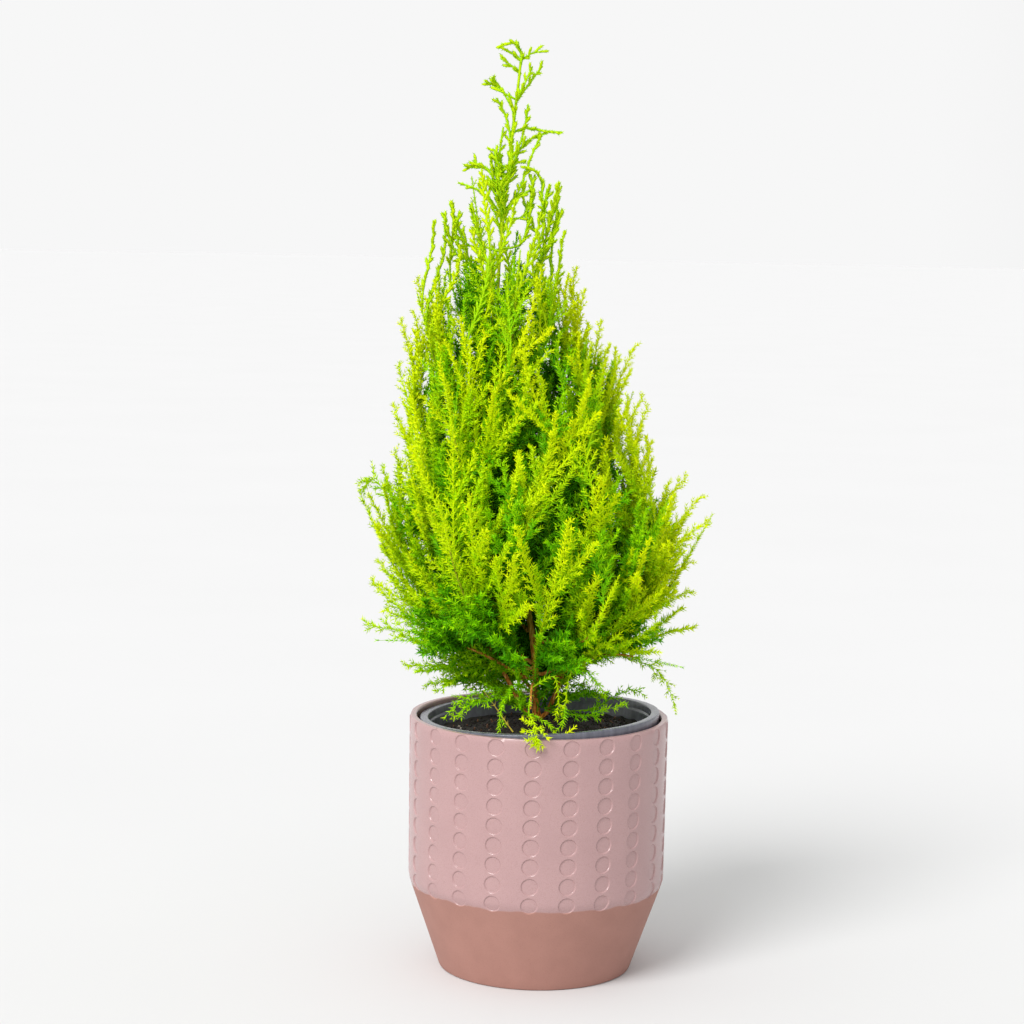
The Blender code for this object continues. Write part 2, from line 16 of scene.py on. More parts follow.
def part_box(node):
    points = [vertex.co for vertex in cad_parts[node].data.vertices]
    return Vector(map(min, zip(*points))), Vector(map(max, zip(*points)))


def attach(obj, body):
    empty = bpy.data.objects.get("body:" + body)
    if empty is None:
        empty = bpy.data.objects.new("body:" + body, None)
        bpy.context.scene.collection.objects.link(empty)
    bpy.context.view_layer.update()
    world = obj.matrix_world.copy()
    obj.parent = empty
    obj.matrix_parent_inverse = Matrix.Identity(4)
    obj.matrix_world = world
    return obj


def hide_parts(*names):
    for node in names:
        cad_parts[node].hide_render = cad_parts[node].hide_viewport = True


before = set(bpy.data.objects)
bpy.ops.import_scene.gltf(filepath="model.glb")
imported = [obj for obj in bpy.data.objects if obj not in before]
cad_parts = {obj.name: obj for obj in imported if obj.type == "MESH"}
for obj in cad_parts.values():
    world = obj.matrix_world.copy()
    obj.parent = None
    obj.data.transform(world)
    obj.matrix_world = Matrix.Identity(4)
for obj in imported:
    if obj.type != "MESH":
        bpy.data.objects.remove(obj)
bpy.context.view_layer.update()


# The cover pot is slip-cast stoneware, upright above a sharp fold and tapering to its foot.
# Round discs are pressed into its wall in upright columns. A satin glaze covers the inside,
# the lip and the wall, and ends in a soft edge at the lowest discs, over the bare cone.
POT_HEIGHT = 0.15475
POT_RADIUS = 0.0785
POT_FOLD_HEIGHT = 0.0557
POT_FOLD_RADIUS = 0.0779
POT_FOOT_RADIUS = 0.0584
POT_WALL = 0.0045
POT_FLOOR = 0.007
POT_LIP_ROUND = 0.0013
POT_FOLD_ROUND = 0.0009
POT_FOOT_ROUND = 0.0012
DISC_COLUMNS = 22
DISC_ROWS = 9
DISC_SIDES = 24
DISC_RADIUS = 0.00533
DISC_PITCH = 0.01166
DISC_TOP_ROW = 0.0936
DISC_DEPTH = 0.0007
DISC_BEVEL = 0.0007
DISC_PRESS = ((0.0, 0.0), (0.45, 0.25), (0.85, 0.90), (1.0, 1.0))  # shares of the bevel and the depth
DISC_INNER_RING = 0.45
DISC_CREASE = math.radians(28)
DISC_TURN = math.radians(-1.9)
DISC_LEAN = math.radians(0.8)
BAND_STEPS = 3
GLAZE_EDGE = -0.0034
GLAZE_RUN = 0.0016
GLAZE_WAVE = 0.0009
CONE_STEPS = 12
LIP_TURNS = (0.3, 0.8, 1.2, 1.57)


def linear(*colour):
    """A colour as it is seen, as the shader takes it."""
    return (*(c / 12.92 if c <= 0.04045 else ((c + 0.055) / 1.055) ** 2.4 for c in colour), 1.0)


def linked_nodes(tree):
    """A maker of a tree's nodes, which links or sets their inputs and gives their outputs."""

    def node(kind, inputs=None, **settings):
        made = tree.nodes.new(kind)
        for key, value in settings.items():
            setattr(made, key, value)
        for key, value in (inputs or {}).items():
            if isinstance(value, (list, bpy.types.NodeSocket)):
                for socket in value if isinstance(value, list) else [value]:
                    tree.links.new(socket, made.inputs[key])
            else:
                made.inputs[key].default_value = value
        return made.outputs

    return node


def new_material(name):
    """A material with its node tree, the tree's shader and a maker of linked nodes."""
    material = bpy.data.materials.new(name)
    material.use_nodes = True
    tree = material.node_tree
    return material, tree, tree.nodes["Principled BSDF"], linked_nodes(tree)


def clouds(node, scale, detail=3.0, stretch=(1.0, 1.0, 1.0)):
    """Soft noise on Object coordinates: its sizes are per metre."""
    place = node("ShaderNodeTexCoord")["Object"]
    place = node("ShaderNodeMapping", {"Vector": place, "Scale": stretch})["Vector"]
    return node("ShaderNodeTexNoise", {"Vector": place, "Scale": scale, "Detail": detail})["Fac"]


def ramp(node, value, *stops):
    """A colour ramp from stops of (place, colour)."""
    colour = node("ShaderNodeValToRGB", {"Fac": value})["Color"]
    elements = colour.node.color_ramp.elements
    while len(elements) < len(stops):
        elements.new(0.5)
    for element, (place, shade) in zip(elements, stops):
        element.position = place
        element.color = shade
    return colour


def maths(node, operation, *values):
    return node("ShaderNodeMath", dict(enumerate(values)), operation=operation)["Value"]


def spread(node, value, low, high, to_low, to_high):
    """A value's range drawn out to another range."""
    inputs = {"Value": value, "From Min": low, "From Max": high, "To Min": to_low, "To Max": to_high}
    return node("ShaderNodeMapRange", inputs)["Result"]


def mixed(node, share, first, second):
    return node("ShaderNodeMix", {0: share, 6: first, 7: second}, data_type="RGBA")[2]


def raised(tree, node, shader, height, strength, distance):
    """Fine relief in the finish, from a height."""
    bump = node("ShaderNodeBump", {"Height": height, "Strength": strength, "Distance": distance})
    tree.links.new(bump["Normal"], shader.inputs["Normal"])


def strip(lows, highs):
    """Faces between two closed rings of points."""
    return list(zip(lows, lows[1:] + lows[:1], highs[1:] + highs[:1], highs))


def new_piece(name, points, faces, material, smooth=True):
    mesh = bpy.data.meshes.new(name)
    mesh.from_pydata([tuple(p) for p in points], [], faces)
    mesh.update()
    if smooth:
        mesh.shade_smooth()
    piece = bpy.data.objects.new(name, mesh)
    bpy.context.scene.collection.objects.link(piece)
    mesh.materials.append(material)
    return piece


def settle(piece, slot, *nodes):
    """The piece rides on the one body and stands for its nodes, which are hidden. Its slot is not used."""
    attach(piece, "root")
    if nodes:
        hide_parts(*nodes)


def wall_line(v):
    """Radius and height of the outer wall at v, the way along it up from the fold."""
    lip_start = POT_HEIGHT - POT_LIP_ROUND - POT_FOLD_HEIGHT
    if v > lip_start:
        turn = min((v - lip_start) / POT_LIP_ROUND, math.pi / 2)
        middle = POT_RADIUS - POT_LIP_ROUND
        return middle + POT_LIP_ROUND * math.cos(turn), POT_HEIGHT - POT_LIP_ROUND * (1 - math.sin(turn))
    below = (v - math.hypot(v, POT_FOLD_ROUND)) / 2
    above = v - below
    cone = math.hypot(POT_FOLD_RADIUS - POT_FOOT_RADIUS, POT_FOLD_HEIGHT)
    radius = POT_FOLD_RADIUS + above * (POT_RADIUS - POT_FOLD_RADIUS) / lip_start
    radius += below * (POT_FOLD_RADIUS - POT_FOOT_RADIUS) / cone
    return radius, POT_FOLD_HEIGHT + above + below * POT_FOLD_HEIGHT / cone


def wall_point(u, v, depth):
    """A point of the wall, pressed in by a depth. u is the way round it at the fold."""
    low, high = wall_line(v - 1e-4), wall_line(v + 1e-4)
    run, rise = high[0] - low[0], high[1] - low[1]
    length = math.hypot(run, rise)
    radius, height = wall_line(v)
    radius -= depth * rise / length
    height += depth * run / length
    turn = u / POT_FOLD_RADIUS + DISC_TURN - DISC_LEAN * (DISC_TOP_ROW - v) / DISC_TOP_ROW
    return radius * math.sin(turn), -radius * math.cos(turn), height


def pot_wall():
    """Points, faces and glaze heights of the whole pot, with each disc as a patch of rings."""
    points, faces, glaze, index = [], [], [], {}
    half = DISC_PITCH / 2
    column = math.tau * POT_FOLD_RADIUS / DISC_COLUMNS

    def point(key, place, glazed):
        if key not in index:
            index[key] = len(points)
            points.append(place)
            glaze.append(glazed)
        return index[key]

    def on_wall(u, v, depth=0.0, glazed=0.0):
        u %= DISC_COLUMNS * column
        key = (round(u * 1e6) % round(DISC_COLUMNS * column * 1e6), round(v * 1e6), depth > 0)
        return point(key, wall_point(u, v, depth), v + glazed)

    eighth = DISC_SIDES // 8
    steps = [half * math.tan(math.tau * k / DISC_SIDES) for k in range(-eighth, eighth + 1)]
    turns = [math.tau * (k / DISC_SIDES + 1 / 8) for k in range(DISC_SIDES)]
    sides = [half / max(abs(math.cos(turn)), abs(math.sin(turn))) for turn in turns]
    square = [(side * math.cos(turn), side * math.sin(turn)) for turn, side in zip(turns, sides)]
    rings = [(DISC_RADIUS - DISC_BEVEL * share, press) for share, press in DISC_PRESS]
    rings.append((DISC_RADIUS * DISC_INNER_RING, 1.0))
    band = [half + (column - DISC_PITCH) * k / BAND_STEPS for k in range(BAND_STEPS + 1)]
    around = []
    for c in range(DISC_COLUMNS):
        around += [c * column + s for s in steps[:-1]] + [c * column + s for s in band[:-1]]
    for c in range(DISC_COLUMNS):
        for r in range(DISC_ROWS):
            u, v = c * column, DISC_TOP_ROW - r * DISC_PITCH
            loops = [[on_wall(u + a, v + b) for a, b in square]]
            for radius, press in rings:
                ring = [(u + radius * math.cos(turn), v + radius * math.sin(turn)) for turn in turns]
                loops.append([on_wall(*at, DISC_DEPTH * press + 1e-9, GLAZE_RUN * press) for at in ring])
            for outer, inner in zip(loops, loops[1:]):
                faces += strip(outer, inner)
            middle = on_wall(u, v, DISC_DEPTH, GLAZE_RUN)
            faces += [(a, b, middle) for a, b in zip(loops[-1], loops[-1][1:] + loops[-1][:1])]
            for left, right in zip(band, band[1:]):
                for low, high in zip(steps, steps[1:]):
                    corners = ((left, low), (right, low), (right, high), (left, high))
                    faces.append(tuple(on_wall(u + a, v + b) for a, b in corners))

    lip_end = POT_HEIGHT - POT_LIP_ROUND - POT_FOLD_HEIGHT + POT_LIP_ROUND * math.pi / 2
    top = DISC_TOP_ROW + half
    bottom = DISC_TOP_ROW - (DISC_ROWS - 1) * DISC_PITCH - half
    foot = -math.hypot(POT_FOLD_RADIUS - POT_FOOT_RADIUS, POT_FOLD_HEIGHT) + POT_FOOT_ROUND
    upper = [[on_wall(u, v) for u in around] for v in (top, (top + lip_end) / 2, lip_end)]
    lower = [[on_wall(u, v) for u in around] for v in np.linspace(foot, bottom, CONE_STEPS)]
    for rows in (upper, lower):
        for low, high in zip(rows, rows[1:]):
            faces += strip(low, high)

    def turned_rows(profile, glazed):
        rows = []
        for i, (radius, height) in enumerate(profile):
            row = []
            for u in around:
                turn = u / POT_FOLD_RADIUS + DISC_TURN
                place = (radius * math.sin(turn), -radius * math.cos(turn), height)
                row.append(point((glazed, i, round(u * 1e6)), place, glazed))
            rows.append(row)
        return rows

    inner, lip = POT_RADIUS - POT_WALL, POT_LIP_ROUND
    inside = [(inner + lip * (1 - math.sin(a)), POT_HEIGHT - lip * (1 - math.cos(a))) for a in LIP_TURNS]
    inside += [(inner, POT_HEIGHT - 0.010), (inner, POT_HEIGHT - 0.040)]
    inside += [(POT_FOLD_RADIUS - POT_WALL, POT_FOLD_HEIGHT), (POT_FOOT_RADIUS - 0.002, POT_FLOOR + 0.001)]
    inside += [(POT_FOOT_RADIUS - 0.004, POT_FLOOR), (0.02, POT_FLOOR)]
    rows = [upper[-1], *turned_rows(inside, 1.0)]
    for low, high in zip(rows, rows[1:]):
        faces += strip(low, high)
    faces.append(tuple(rows[-1]))
    under = [(POT_FOOT_RADIUS + 0.0001, 0.0006), (POT_FOOT_RADIUS - 0.0010, 0.0), (0.02, 0.0)]
    rows = [lower[0], *turned_rows(under, -1.0)]
    for low, high in zip(rows, rows[1:]):
        faces += strip(high, low)
    faces.append(tuple(reversed(rows[-1])))
    return points, faces, glaze


def pot_material():
    material, tree, shader, node = new_material("satin_glaze_and_stoneware")
    height = node("ShaderNodeAttribute", attribute_name="glaze_height")["Fac"]
    wave = spread(node, clouds(node, 60.0, 2.0), 0.3, 0.7, -GLAZE_WAVE, GLAZE_WAVE)
    height = maths(node, "ADD", height, wave)
    glazed = spread(node, height, GLAZE_EDGE - 0.0006, GLAZE_EDGE + 0.0006, 0.0, 1.0)
    grain = clouds(node, 2000.0, 2.0)
    pinks = (0.30, linear(0.690, 0.556, 0.554)), (0.70, linear(0.709, 0.573, 0.570))
    pink = ramp(node, clouds(node, 45.0), *pinks)
    pink = mixed(node, spread(node, grain, 0.50, 0.70, 0.0, 0.55), pink, linear(0.63, 0.49, 0.48))
    clays = (0.30, linear(0.643, 0.466, 0.420)), (0.70, linear(0.668, 0.487, 0.440))
    clay = ramp(node, clouds(node, 70.0), *clays)
    clay = mixed(node, spread(node, grain, 0.58, 0.74, 0.0, 0.5), clay, linear(0.56, 0.39, 0.35))
    tree.links.new(mixed(node, glazed, clay, pink), shader.inputs["Base Color"])
    tree.links.new(spread(node, glazed, 0.0, 1.0, 0.78, 0.21), shader.inputs["Roughness"])
    raised(tree, node, shader, clouds(node, 900.0, 4.0), 0.25, 0.0002)
    return material


points, faces, glaze = pot_wall()
cover_pot = new_piece("cover_pot_with_discs", points, faces, pot_material())
cover_pot.data.set_sharp_from_angle(angle=DISC_CREASE)
cover_pot.data.attributes.new("glaze_height", "FLOAT", "POINT").data.foreach_set("value", glaze)
settle(cover_pot, "glaze", "cover_pot")


# The grow pot is thin moulded plastic, dark grey, with a broad flat rim over a short skirt.
# It stands a little askew in the cover pot, so its rim rises to the right.
TUB_HEIGHT = 0.145
TUB_RIM_RADIUS = 0.0728
TUB_RIM_WIDTH = 0.005
TUB_RIM_DEPTH = 0.009
TUB_FOOT_RADIUS = 0.049
TUB_WALL = 0.0013
TUB_RIM_CENTRE = Vector((0.0003, 0.0003, 0.1556))
TUB_AXIS = Vector((-0.042, 0.015, 1.0)).normalized()
TUB_STEPS = 144

tub_turn = Vector((0, 0, 1)).rotation_difference(TUB_AXIS).to_matrix().to_4x4()
tub_place = Matrix.Translation(TUB_RIM_CENTRE - TUB_AXIS * TUB_HEIGHT) @ tub_turn


def rounded(profile, size):
    """The profile with each inner corner cut back into three points."""
    line = [profile[0]]
    for before, corner, after in zip(profile, profile[1:], profile[2:]):
        a, b, c = Vector(before), Vector(corner), Vector(after)
        cut = min(size, (b - a).length * 0.45, (c - b).length * 0.45)
        start = b + (a - b).normalized() * cut
        end = b + (c - b).normalized() * cut
        line += [tuple(start), tuple((start + end + b * 2) / 4), tuple(end)]
    return [*line, profile[-1]]


def tube_faces(count, around):
    """Faces between a tube's rings, and one to close each end."""
    rings = [list(range(i * around, (i + 1) * around)) for i in range(count)]
    faces = [face for low, high in zip(rings, rings[1:]) for face in strip(low, high)]
    return [*faces, tuple(reversed(rings[0])), tuple(rings[-1])]


def turned(profile, steps, place):
    """Points and faces of a closed profile of (radius, height) swept once round its axis."""
    points = []
    for radius, height in profile:
        for k in range(steps):
            turn = math.tau * k / steps
            points.append(place @ Vector((radius * math.cos(turn), radius * math.sin(turn), height)))
    return points, tube_faces(len(profile), steps)


def tub_outline():
    inner = TUB_RIM_RADIUS - TUB_RIM_WIDTH
    top = inner + TUB_WALL
    skirt = TUB_HEIGHT - TUB_RIM_DEPTH
    line = [(0.004, 0.0), (TUB_FOOT_RADIUS, 0.0), (top - 0.0015, skirt), (TUB_RIM_RADIUS - 0.0007, skirt)]
    line += [(TUB_RIM_RADIUS, TUB_HEIGHT), (inner, TUB_HEIGHT)]
    line += [(inner - 0.0003, TUB_HEIGHT - 0.0045), (inner - 0.0012, TUB_HEIGHT - 0.0052)]
    line += [(TUB_FOOT_RADIUS - TUB_WALL, TUB_WALL), (0.004, TUB_WALL)]
    return rounded(line, 0.0007)


def plastic_material():
    material, tree, shader, node = new_material("dark_grey_moulded_plastic")
    scuffs = clouds(node, 260.0, 5.0, (1.0, 1.0, 0.3))
    colour = ramp(node, scuffs, (0.35, linear(0.36, 0.365, 0.405)), (0.75, linear(0.45, 0.455, 0.50)))
    tree.links.new(colour, shader.inputs["Base Color"])
    tree.links.new(spread(node, scuffs, 0.3, 0.7, 0.15, 0.27), shader.inputs["Roughness"])
    raised(tree, node, shader, clouds(node, 1500.0, 3.0), 0.3, 0.00015)
    return material


tub = turned(tub_outline(), TUB_STEPS, tub_place)
grow_pot = new_piece("grow_pot_moulding", *tub, plastic_material())
settle(grow_pot, "grow_pot", "grow_pot")


# The soil is dark moist peat, mounded at the trunk and level towards the grow pot's wall.
# Loose crumbs, bits of bark and a few pale grains lie on it.
SOIL_EDGE_DROP = 0.0112
SOIL_MOUND = 0.0054
SOIL_RINGS = 34
SOIL_STEPS = 120
SOIL_DEPTH = 0.012
SOIL_RELIEF = 0.0016
SOIL_LUMPS = ((160.0, 0.0, 0.6), (420.0, 0.3, 0.4))  # how fine, layer of the noise, share
SOIL_SUNK = 0.0004  # at the trunk
SOIL_SUNK_REACH = 0.008
SOIL_FOOT_SHARE = 0.985


def soil_height(radius):
    """The even height of the soil over the grow pot's foot."""
    share = min(max((radius - 0.018) / 0.040, 0.0), 1.0)
    return TUB_HEIGHT - SOIL_EDGE_DROP + SOIL_MOUND * (0.5 + 0.5 * math.cos(math.pi * share))


def make_soil():
    skirt = TUB_HEIGHT - SOIL_EDGE_DROP
    inner = TUB_RIM_RADIUS - TUB_RIM_WIDTH
    reach = TUB_FOOT_RADIUS + (inner - TUB_FOOT_RADIUS) * skirt / TUB_HEIGHT - TUB_WALL * 0.5
    points, faces = [], []
    for i in range(1, SOIL_RINGS + 1):
        radius = reach * i / SOIL_RINGS
        for k in range(SOIL_STEPS):
            turn = math.tau * k / SOIL_STEPS
            x, y = radius * math.cos(turn), radius * math.sin(turn)
            lumps = sum(noise.noise(Vector((x, y, z)) * fine) * share for fine, z, share in SOIL_LUMPS)
            sunk = SOIL_SUNK if radius < SOIL_SUNK_REACH else 0.0
            points.append(Vector((x, y, soil_height(radius) + lumps * SOIL_RELIEF - sunk)))
    for i in range(SOIL_RINGS - 1):
        for k in range(SOIL_STEPS):
            m = (k + 1) % SOIL_STEPS
            a, b = i * SOIL_STEPS, (i + 1) * SOIL_STEPS
            faces.append((a + k, b + k, b + m, a + m))
    faces.append(tuple(range(SOIL_STEPS)))
    last = (SOIL_RINGS - 1) * SOIL_STEPS
    low, share = len(points), SOIL_FOOT_SHARE
    points += [Vector((p.x * share, p.y * share, skirt - SOIL_DEPTH)) for p in points[last:]]
    for k in range(SOIL_STEPS):
        m = (k + 1) % SOIL_STEPS
        faces.append((last + k, low + k, low + m, last + m))
    faces.append(tuple(reversed(range(low, low + SOIL_STEPS))))
    return [tub_place @ p for p in points], faces


def soil_material(name, dark, pale, roughness):
    material, tree, shader, node = new_material(name)
    colour = ramp(node, clouds(node, 500.0, 6.0), (0.40, dark), (0.68, pale))
    tree.links.new(colour, shader.inputs["Base Color"])
    shader.inputs["Roughness"].default_value = roughness
    raised(tree, node, shader, clouds(node, 1400.0, 5.0), 0.6, 0.0005)
    return material


def new_tree(name, *sizes):
    """A Geometry Nodes tree with named sizes and a material, and a maker of its linked nodes."""
    tree = bpy.data.node_groups.new(name, "GeometryNodeTree")
    tree.interface.new_socket("Geometry", in_out="INPUT", socket_type="NodeSocketGeometry")
    for label, kind in (*sizes, ("Material", "Material")):
        tree.interface.new_socket(label, in_out="INPUT", socket_type="NodeSocket" + kind)
    tree.interface.new_socket("Geometry", in_out="OUTPUT", socket_type="NodeSocketGeometry")
    return tree, tree.nodes.new("NodeGroupInput").outputs, linked_nodes(tree)


def end_tree(node, shape, material):
    """Gives a tree's shape out as plain meshes with their material."""
    shape = node("GeometryNodeRealizeInstances", {"Geometry": shape})[0]
    shape = node("GeometryNodeSetMaterial", {"Geometry": shape, "Material": material})[0]
    node("NodeGroupOutput", {"Geometry": shape})


def chance(node, low, high, seed):
    """A random number for each point."""
    return node("FunctionNodeRandomValue", {2: low, 3: high, "Seed": seed}, data_type="FLOAT")[1]


def grown(name, mesh, tree, material, **sizes):
    """The plain mesh object that a tree makes from a mesh."""
    thing = bpy.data.objects.new(name, mesh)
    bpy.context.scene.collection.objects.link(thing)
    modifier = thing.modifiers.new("grow", "NODES")
    modifier.node_group = tree
    sizes["Material"] = material
    for item in tree.interface.items_tree:
        if item.in_out == "INPUT" and item.name in sizes:
            modifier[item.identifier] = sizes[item.name]
    graph = bpy.context.evaluated_depsgraph_get()
    result = bpy.data.meshes.new_from_object(thing.evaluated_get(graph), depsgraph=graph)
    thing.modifiers.clear()
    thing.data = result
    result.name = name
    return thing


def crumb_tree():
    """Rough little lumps, dealt out over a surface and sunk half way into it."""
    sizes = (("Density", "Float"), ("Size", "Float"), ("Length", "Float"), ("Seed", "Int"))
    tree, given, node = new_tree("soil_crumbs", *sizes)
    put = {"Mesh": given["Geometry"], "Density": given["Density"], "Seed": given["Seed"]}
    spots = node("GeometryNodeDistributePointsOnFaces", put)["Points"]
    lump = node("GeometryNodeMeshIcoSphere", {"Radius": 0.5, "Subdivisions": 1})["Mesh"]
    turns = {0: (0.0, 0.0, 0.0), 1: (6.28, 6.28, 6.28), "Seed": 4}
    turn = node("FunctionNodeRandomValue", turns, data_type="FLOAT_VECTOR")[0]
    size = maths(node, "MULTIPLY", chance(node, 0.4, 1.3, 9), given["Size"])
    length = maths(node, "MULTIPLY", size, given["Length"])
    flat = maths(node, "MULTIPLY", size, 0.7)
    scale = node("ShaderNodeCombineXYZ", {0: length, 1: size, 2: flat})[0]
    put = {"Points": spots, "Instance": lump, "Rotation": turn, "Scale": scale}
    end_tree(node, node("GeometryNodeInstanceOnPoints", put)[0], given["Material"])
    return tree


PEAT_DARK, PEAT_PALE = linear(0.085, 0.070, 0.055), linear(0.20, 0.155, 0.115)
points, faces = make_soil()
soil = new_piece("soil_surface", points, faces, soil_material("moist_peat", PEAT_DARK, PEAT_PALE, 0.9))
settle(soil, "soil", "soil")
top_faces = [face for face in faces[: (SOIL_RINGS - 4) * SOIL_STEPS] if face[0] > 3 * SOIL_STEPS]
soil_top = bpy.data.meshes.new("soil_top")
soil_top.from_pydata(points, [], top_faces)
crumbs = crumb_tree()
for name, dark, pale, density, size, length, seed in (
    ("peat_crumbs", PEAT_DARK, PEAT_PALE, 100000.0, 0.0018, 1.2, 1),
    ("bark_chips", linear(0.30, 0.19, 0.12), linear(0.56, 0.40, 0.28), 9000.0, 0.0016, 3.0, 2),
    ("pale_grains", linear(0.62, 0.58, 0.52), linear(0.78, 0.74, 0.68), 2200.0, 0.0017, 1.1, 3),
):
    finish = soil_material(name + "_finish", dark, pale, 0.85)
    piece = grown(name, soil_top, crumbs, finish, Density=density, Size=size, Length=length, Seed=seed)
    settle(piece, "soil")


# The trunk is slim, leans to the left and carries its boughs in tiers. Its bark is reddish
# brown and flakes in long strips at the foot, and turns olive up in the crown.
TRUNK_FOOT = Vector((-0.0015, 0.010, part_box("trunk")[0][2]))
TRUNK_BENDS = (  # height, right, back
    (0.199, -0.0047, 0.008),
    (0.270, -0.0180, 0.005),
    (0.342, -0.0285, 0.002),
    (0.420, -0.0294, 0.000),
    (0.478, -0.0250, 0.000),
)
# stems at the foot, as (right, back, up)
FOOT_STEMS = (
    (
        (-0.0030, 0.0080, 0.1500), (-0.0088, 0.005, 0.1556), (-0.0193, 0.005, 0.1745),
        (-0.0310, 0.005, 0.1945),
    ),
    (
        (0.0000, 0.0080, 0.1500), (0.0050, 0.005, 0.1556), (0.0091, 0.005, 0.1650),
        (0.0130, 0.005, 0.1750), (0.0150, 0.005, 0.1900),
    ),
)
FOOT_STEM_RADII = (0.0016, 0.0011)
TRUNK_FOOT_RADIUS = 0.0021
TRUNK_TIP_RADIUS = 0.0007
TRUNK_FLARE = 0.0016
TRUNK_FLARE_HEIGHT = 0.006
TRUNK_SIDES = 20
LEADER_BENDS = ((0.4783, -0.0250), (0.498, -0.0233), (0.516, -0.0216), (0.534, -0.0197), (0.5425, -0.0190))
LEADER_TOP = 0.5585
CROWN = (  # height, middle, reach
    (0.120, -0.008, 0.086),
    (0.160, -0.004, 0.090),
    (0.208, -0.006, 0.097),
    (0.240, -0.007, 0.096),
    (0.279, -0.002, 0.1037),
    (0.290, -0.0098, 0.1020),
    (0.325, -0.016, 0.077),
    (0.370, -0.017, 0.070),
    (0.395, -0.029, 0.054),
    (0.435, -0.031, 0.043),
    (0.468, -0.027, 0.032),
    (0.500, -0.023, 0.018),
    (0.560, -0.024, 0.011),
)
# low, lower, middle, upper and top boughs: their number, heights of starts and tips, pitch,
# first turn, share of the tips' heights at which they begin, and size
TIERS = (
    (5, (0.159, 0.176), (0.150, 0.236), (-42, 30), -90, 0.0, 0.9),
    (6, (0.156, 0.206), (0.236, 0.306), (50, 70), 180, 0.757, 1.0),
    (5, (0.206, 0.262), (0.312, 0.392), (68, 76), -54, 0.0, 1.0),
    (4, (0.290, 0.346), (0.392, 0.462), (72, 80), 20, 0.0, 0.9),
    (3, (0.372, 0.412), (0.455, 0.492), (74, 80), -100, 0.0, 0.7),
)
START_SHARE = 0.35
GOLDEN_SHARE = 0.618034
GOLDEN_ANGLE = math.radians(137.508)
BOUGH_RADII = (0.0013, 0.0005)
BOUGH_SIDES = 9
BOUGH_RINGS = 60
BOUGH_GAP = 0.0045
ROOT_LIFT = 0.004
SPRAY_REACH = 0.0344
BARK_RELIEF = 0.16
BARK_STRIPS = ((2.2, 260.0, 1.0), (5.0, 700.0, 0.6))  # how fine round a limb, along it, share


def smooth_path(points, count):
    """Evenly numbered points of a soft curve that passes through the given ones."""
    points = [Vector(p) for p in points]
    ends = [points[0] * 2 - points[1], *points, points[-1] * 2 - points[-2]]
    path = []
    for i in range(count):
        along = (len(points) - 1) * i / (count - 1)
        k = min(int(along), len(points) - 2)
        t = along - k
        a, b, c, d = ends[k : k + 4]
        square, cube = a * 2 - b * 5 + c * 4 - d, b * 3 - a - c * 3 + d
        path.append((b * 2 + (c - a) * t + square * t**2 + cube * t**3) / 2)
    return path


def trunk_radius(height):
    share = min(max((height - TRUNK_FOOT.z) / (TRUNK_BENDS[-1][0] - TRUNK_FOOT.z), 0.0), 1.0)
    flare = TRUNK_FLARE * math.exp(-(height - TRUNK_FOOT.z) / (TRUNK_FLARE_HEIGHT * 0.5))
    return TRUNK_FOOT_RADIUS + (TRUNK_TIP_RADIUS - TRUNK_FOOT_RADIUS) * share**0.9 + flare


def crown_at(height):
    """The crown's middle and its reach at a height."""
    for low, high in zip(CROWN, CROWN[1:]):
        if height <= high[0] or high is CROWN[-1]:
            share = min(max((height - low[0]) / (high[0] - low[0]), 0.0), 1.0)
            return low[1] + (high[1] - low[1]) * share, low[2] + (high[2] - low[2]) * share


def between(pair, share):
    return pair[0] + (pair[1] - pair[0]) * share


def point_at_height(path, height):
    for low, high in zip(path, path[1:]):
        if high.z >= height:
            return low.lerp(high, (height - low.z) / (high.z - low.z))
    return path[-1]


def bezier(a, b, c, d, count):
    path = []
    for i in range(count):
        t = i / (count - 1)
        s = 1 - t
        path.append(a * s**3 + b * (3 * s * s * t) + c * (3 * s * t * t) + d * t**3)
    return path


def distance_to_path(point, path):
    nearest = 1.0
    for a, b in zip(path, path[1:]):
        run = b - a
        t = min(max((point - a).dot(run) / run.length_squared, 0.0), 1.0)
        nearest = min(nearest, (point - a - run * t).length)
    return nearest


def bough_route(trunk, tier, k, lift):
    """One bough's path from inside the trunk to the tip of its last spray."""
    count, start, tip, pitch, first, share, size = tier
    low_share = (k * GOLDEN_SHARE + START_SHARE) % 1.0
    tip_share = (k * GOLDEN_SHARE + share) % 1.0
    tip_height = between(tip, tip_share)
    turn = math.radians(first - 360 * k / count)
    middle, reach = crown_at(tip_height)
    outward = Vector((math.cos(turn), math.sin(turn), 0.0))
    furthest = Vector((middle, 0.0, tip_height)) + outward * reach
    rise = math.radians(between(pitch, tip_share))
    heading = outward * math.cos(rise) + Vector((0, 0, math.sin(rise)))
    root = point_at_height(trunk, between(start, low_share) + lift)
    away = Vector((furthest.x - root.x, furthest.y - root.y, 0.0)).normalized()
    first = root + away * (trunk_radius(root.z) + 0.00036)
    second = first + away * 0.0025
    end = furthest - heading * SPRAY_REACH * size
    span = (end - second).length
    rising = second + away * span * 0.30 + Vector((0, 0, span * 0.14))
    return [first, *bezier(second, rising, end - heading * span * 0.42, end, 14)], root, furthest


def clear_route(trunk, tier, k, routes):
    """A bough's path, with its root raised step by step until it clears the boughs before it."""
    for step in range(12):
        route, root, furthest = bough_route(trunk, tier, k, step * ROOT_LIFT)
        if min((distance_to_path(p, other) for other in routes for p in route), default=1.0) > BOUGH_GAP:
            break
    return route, root, furthest


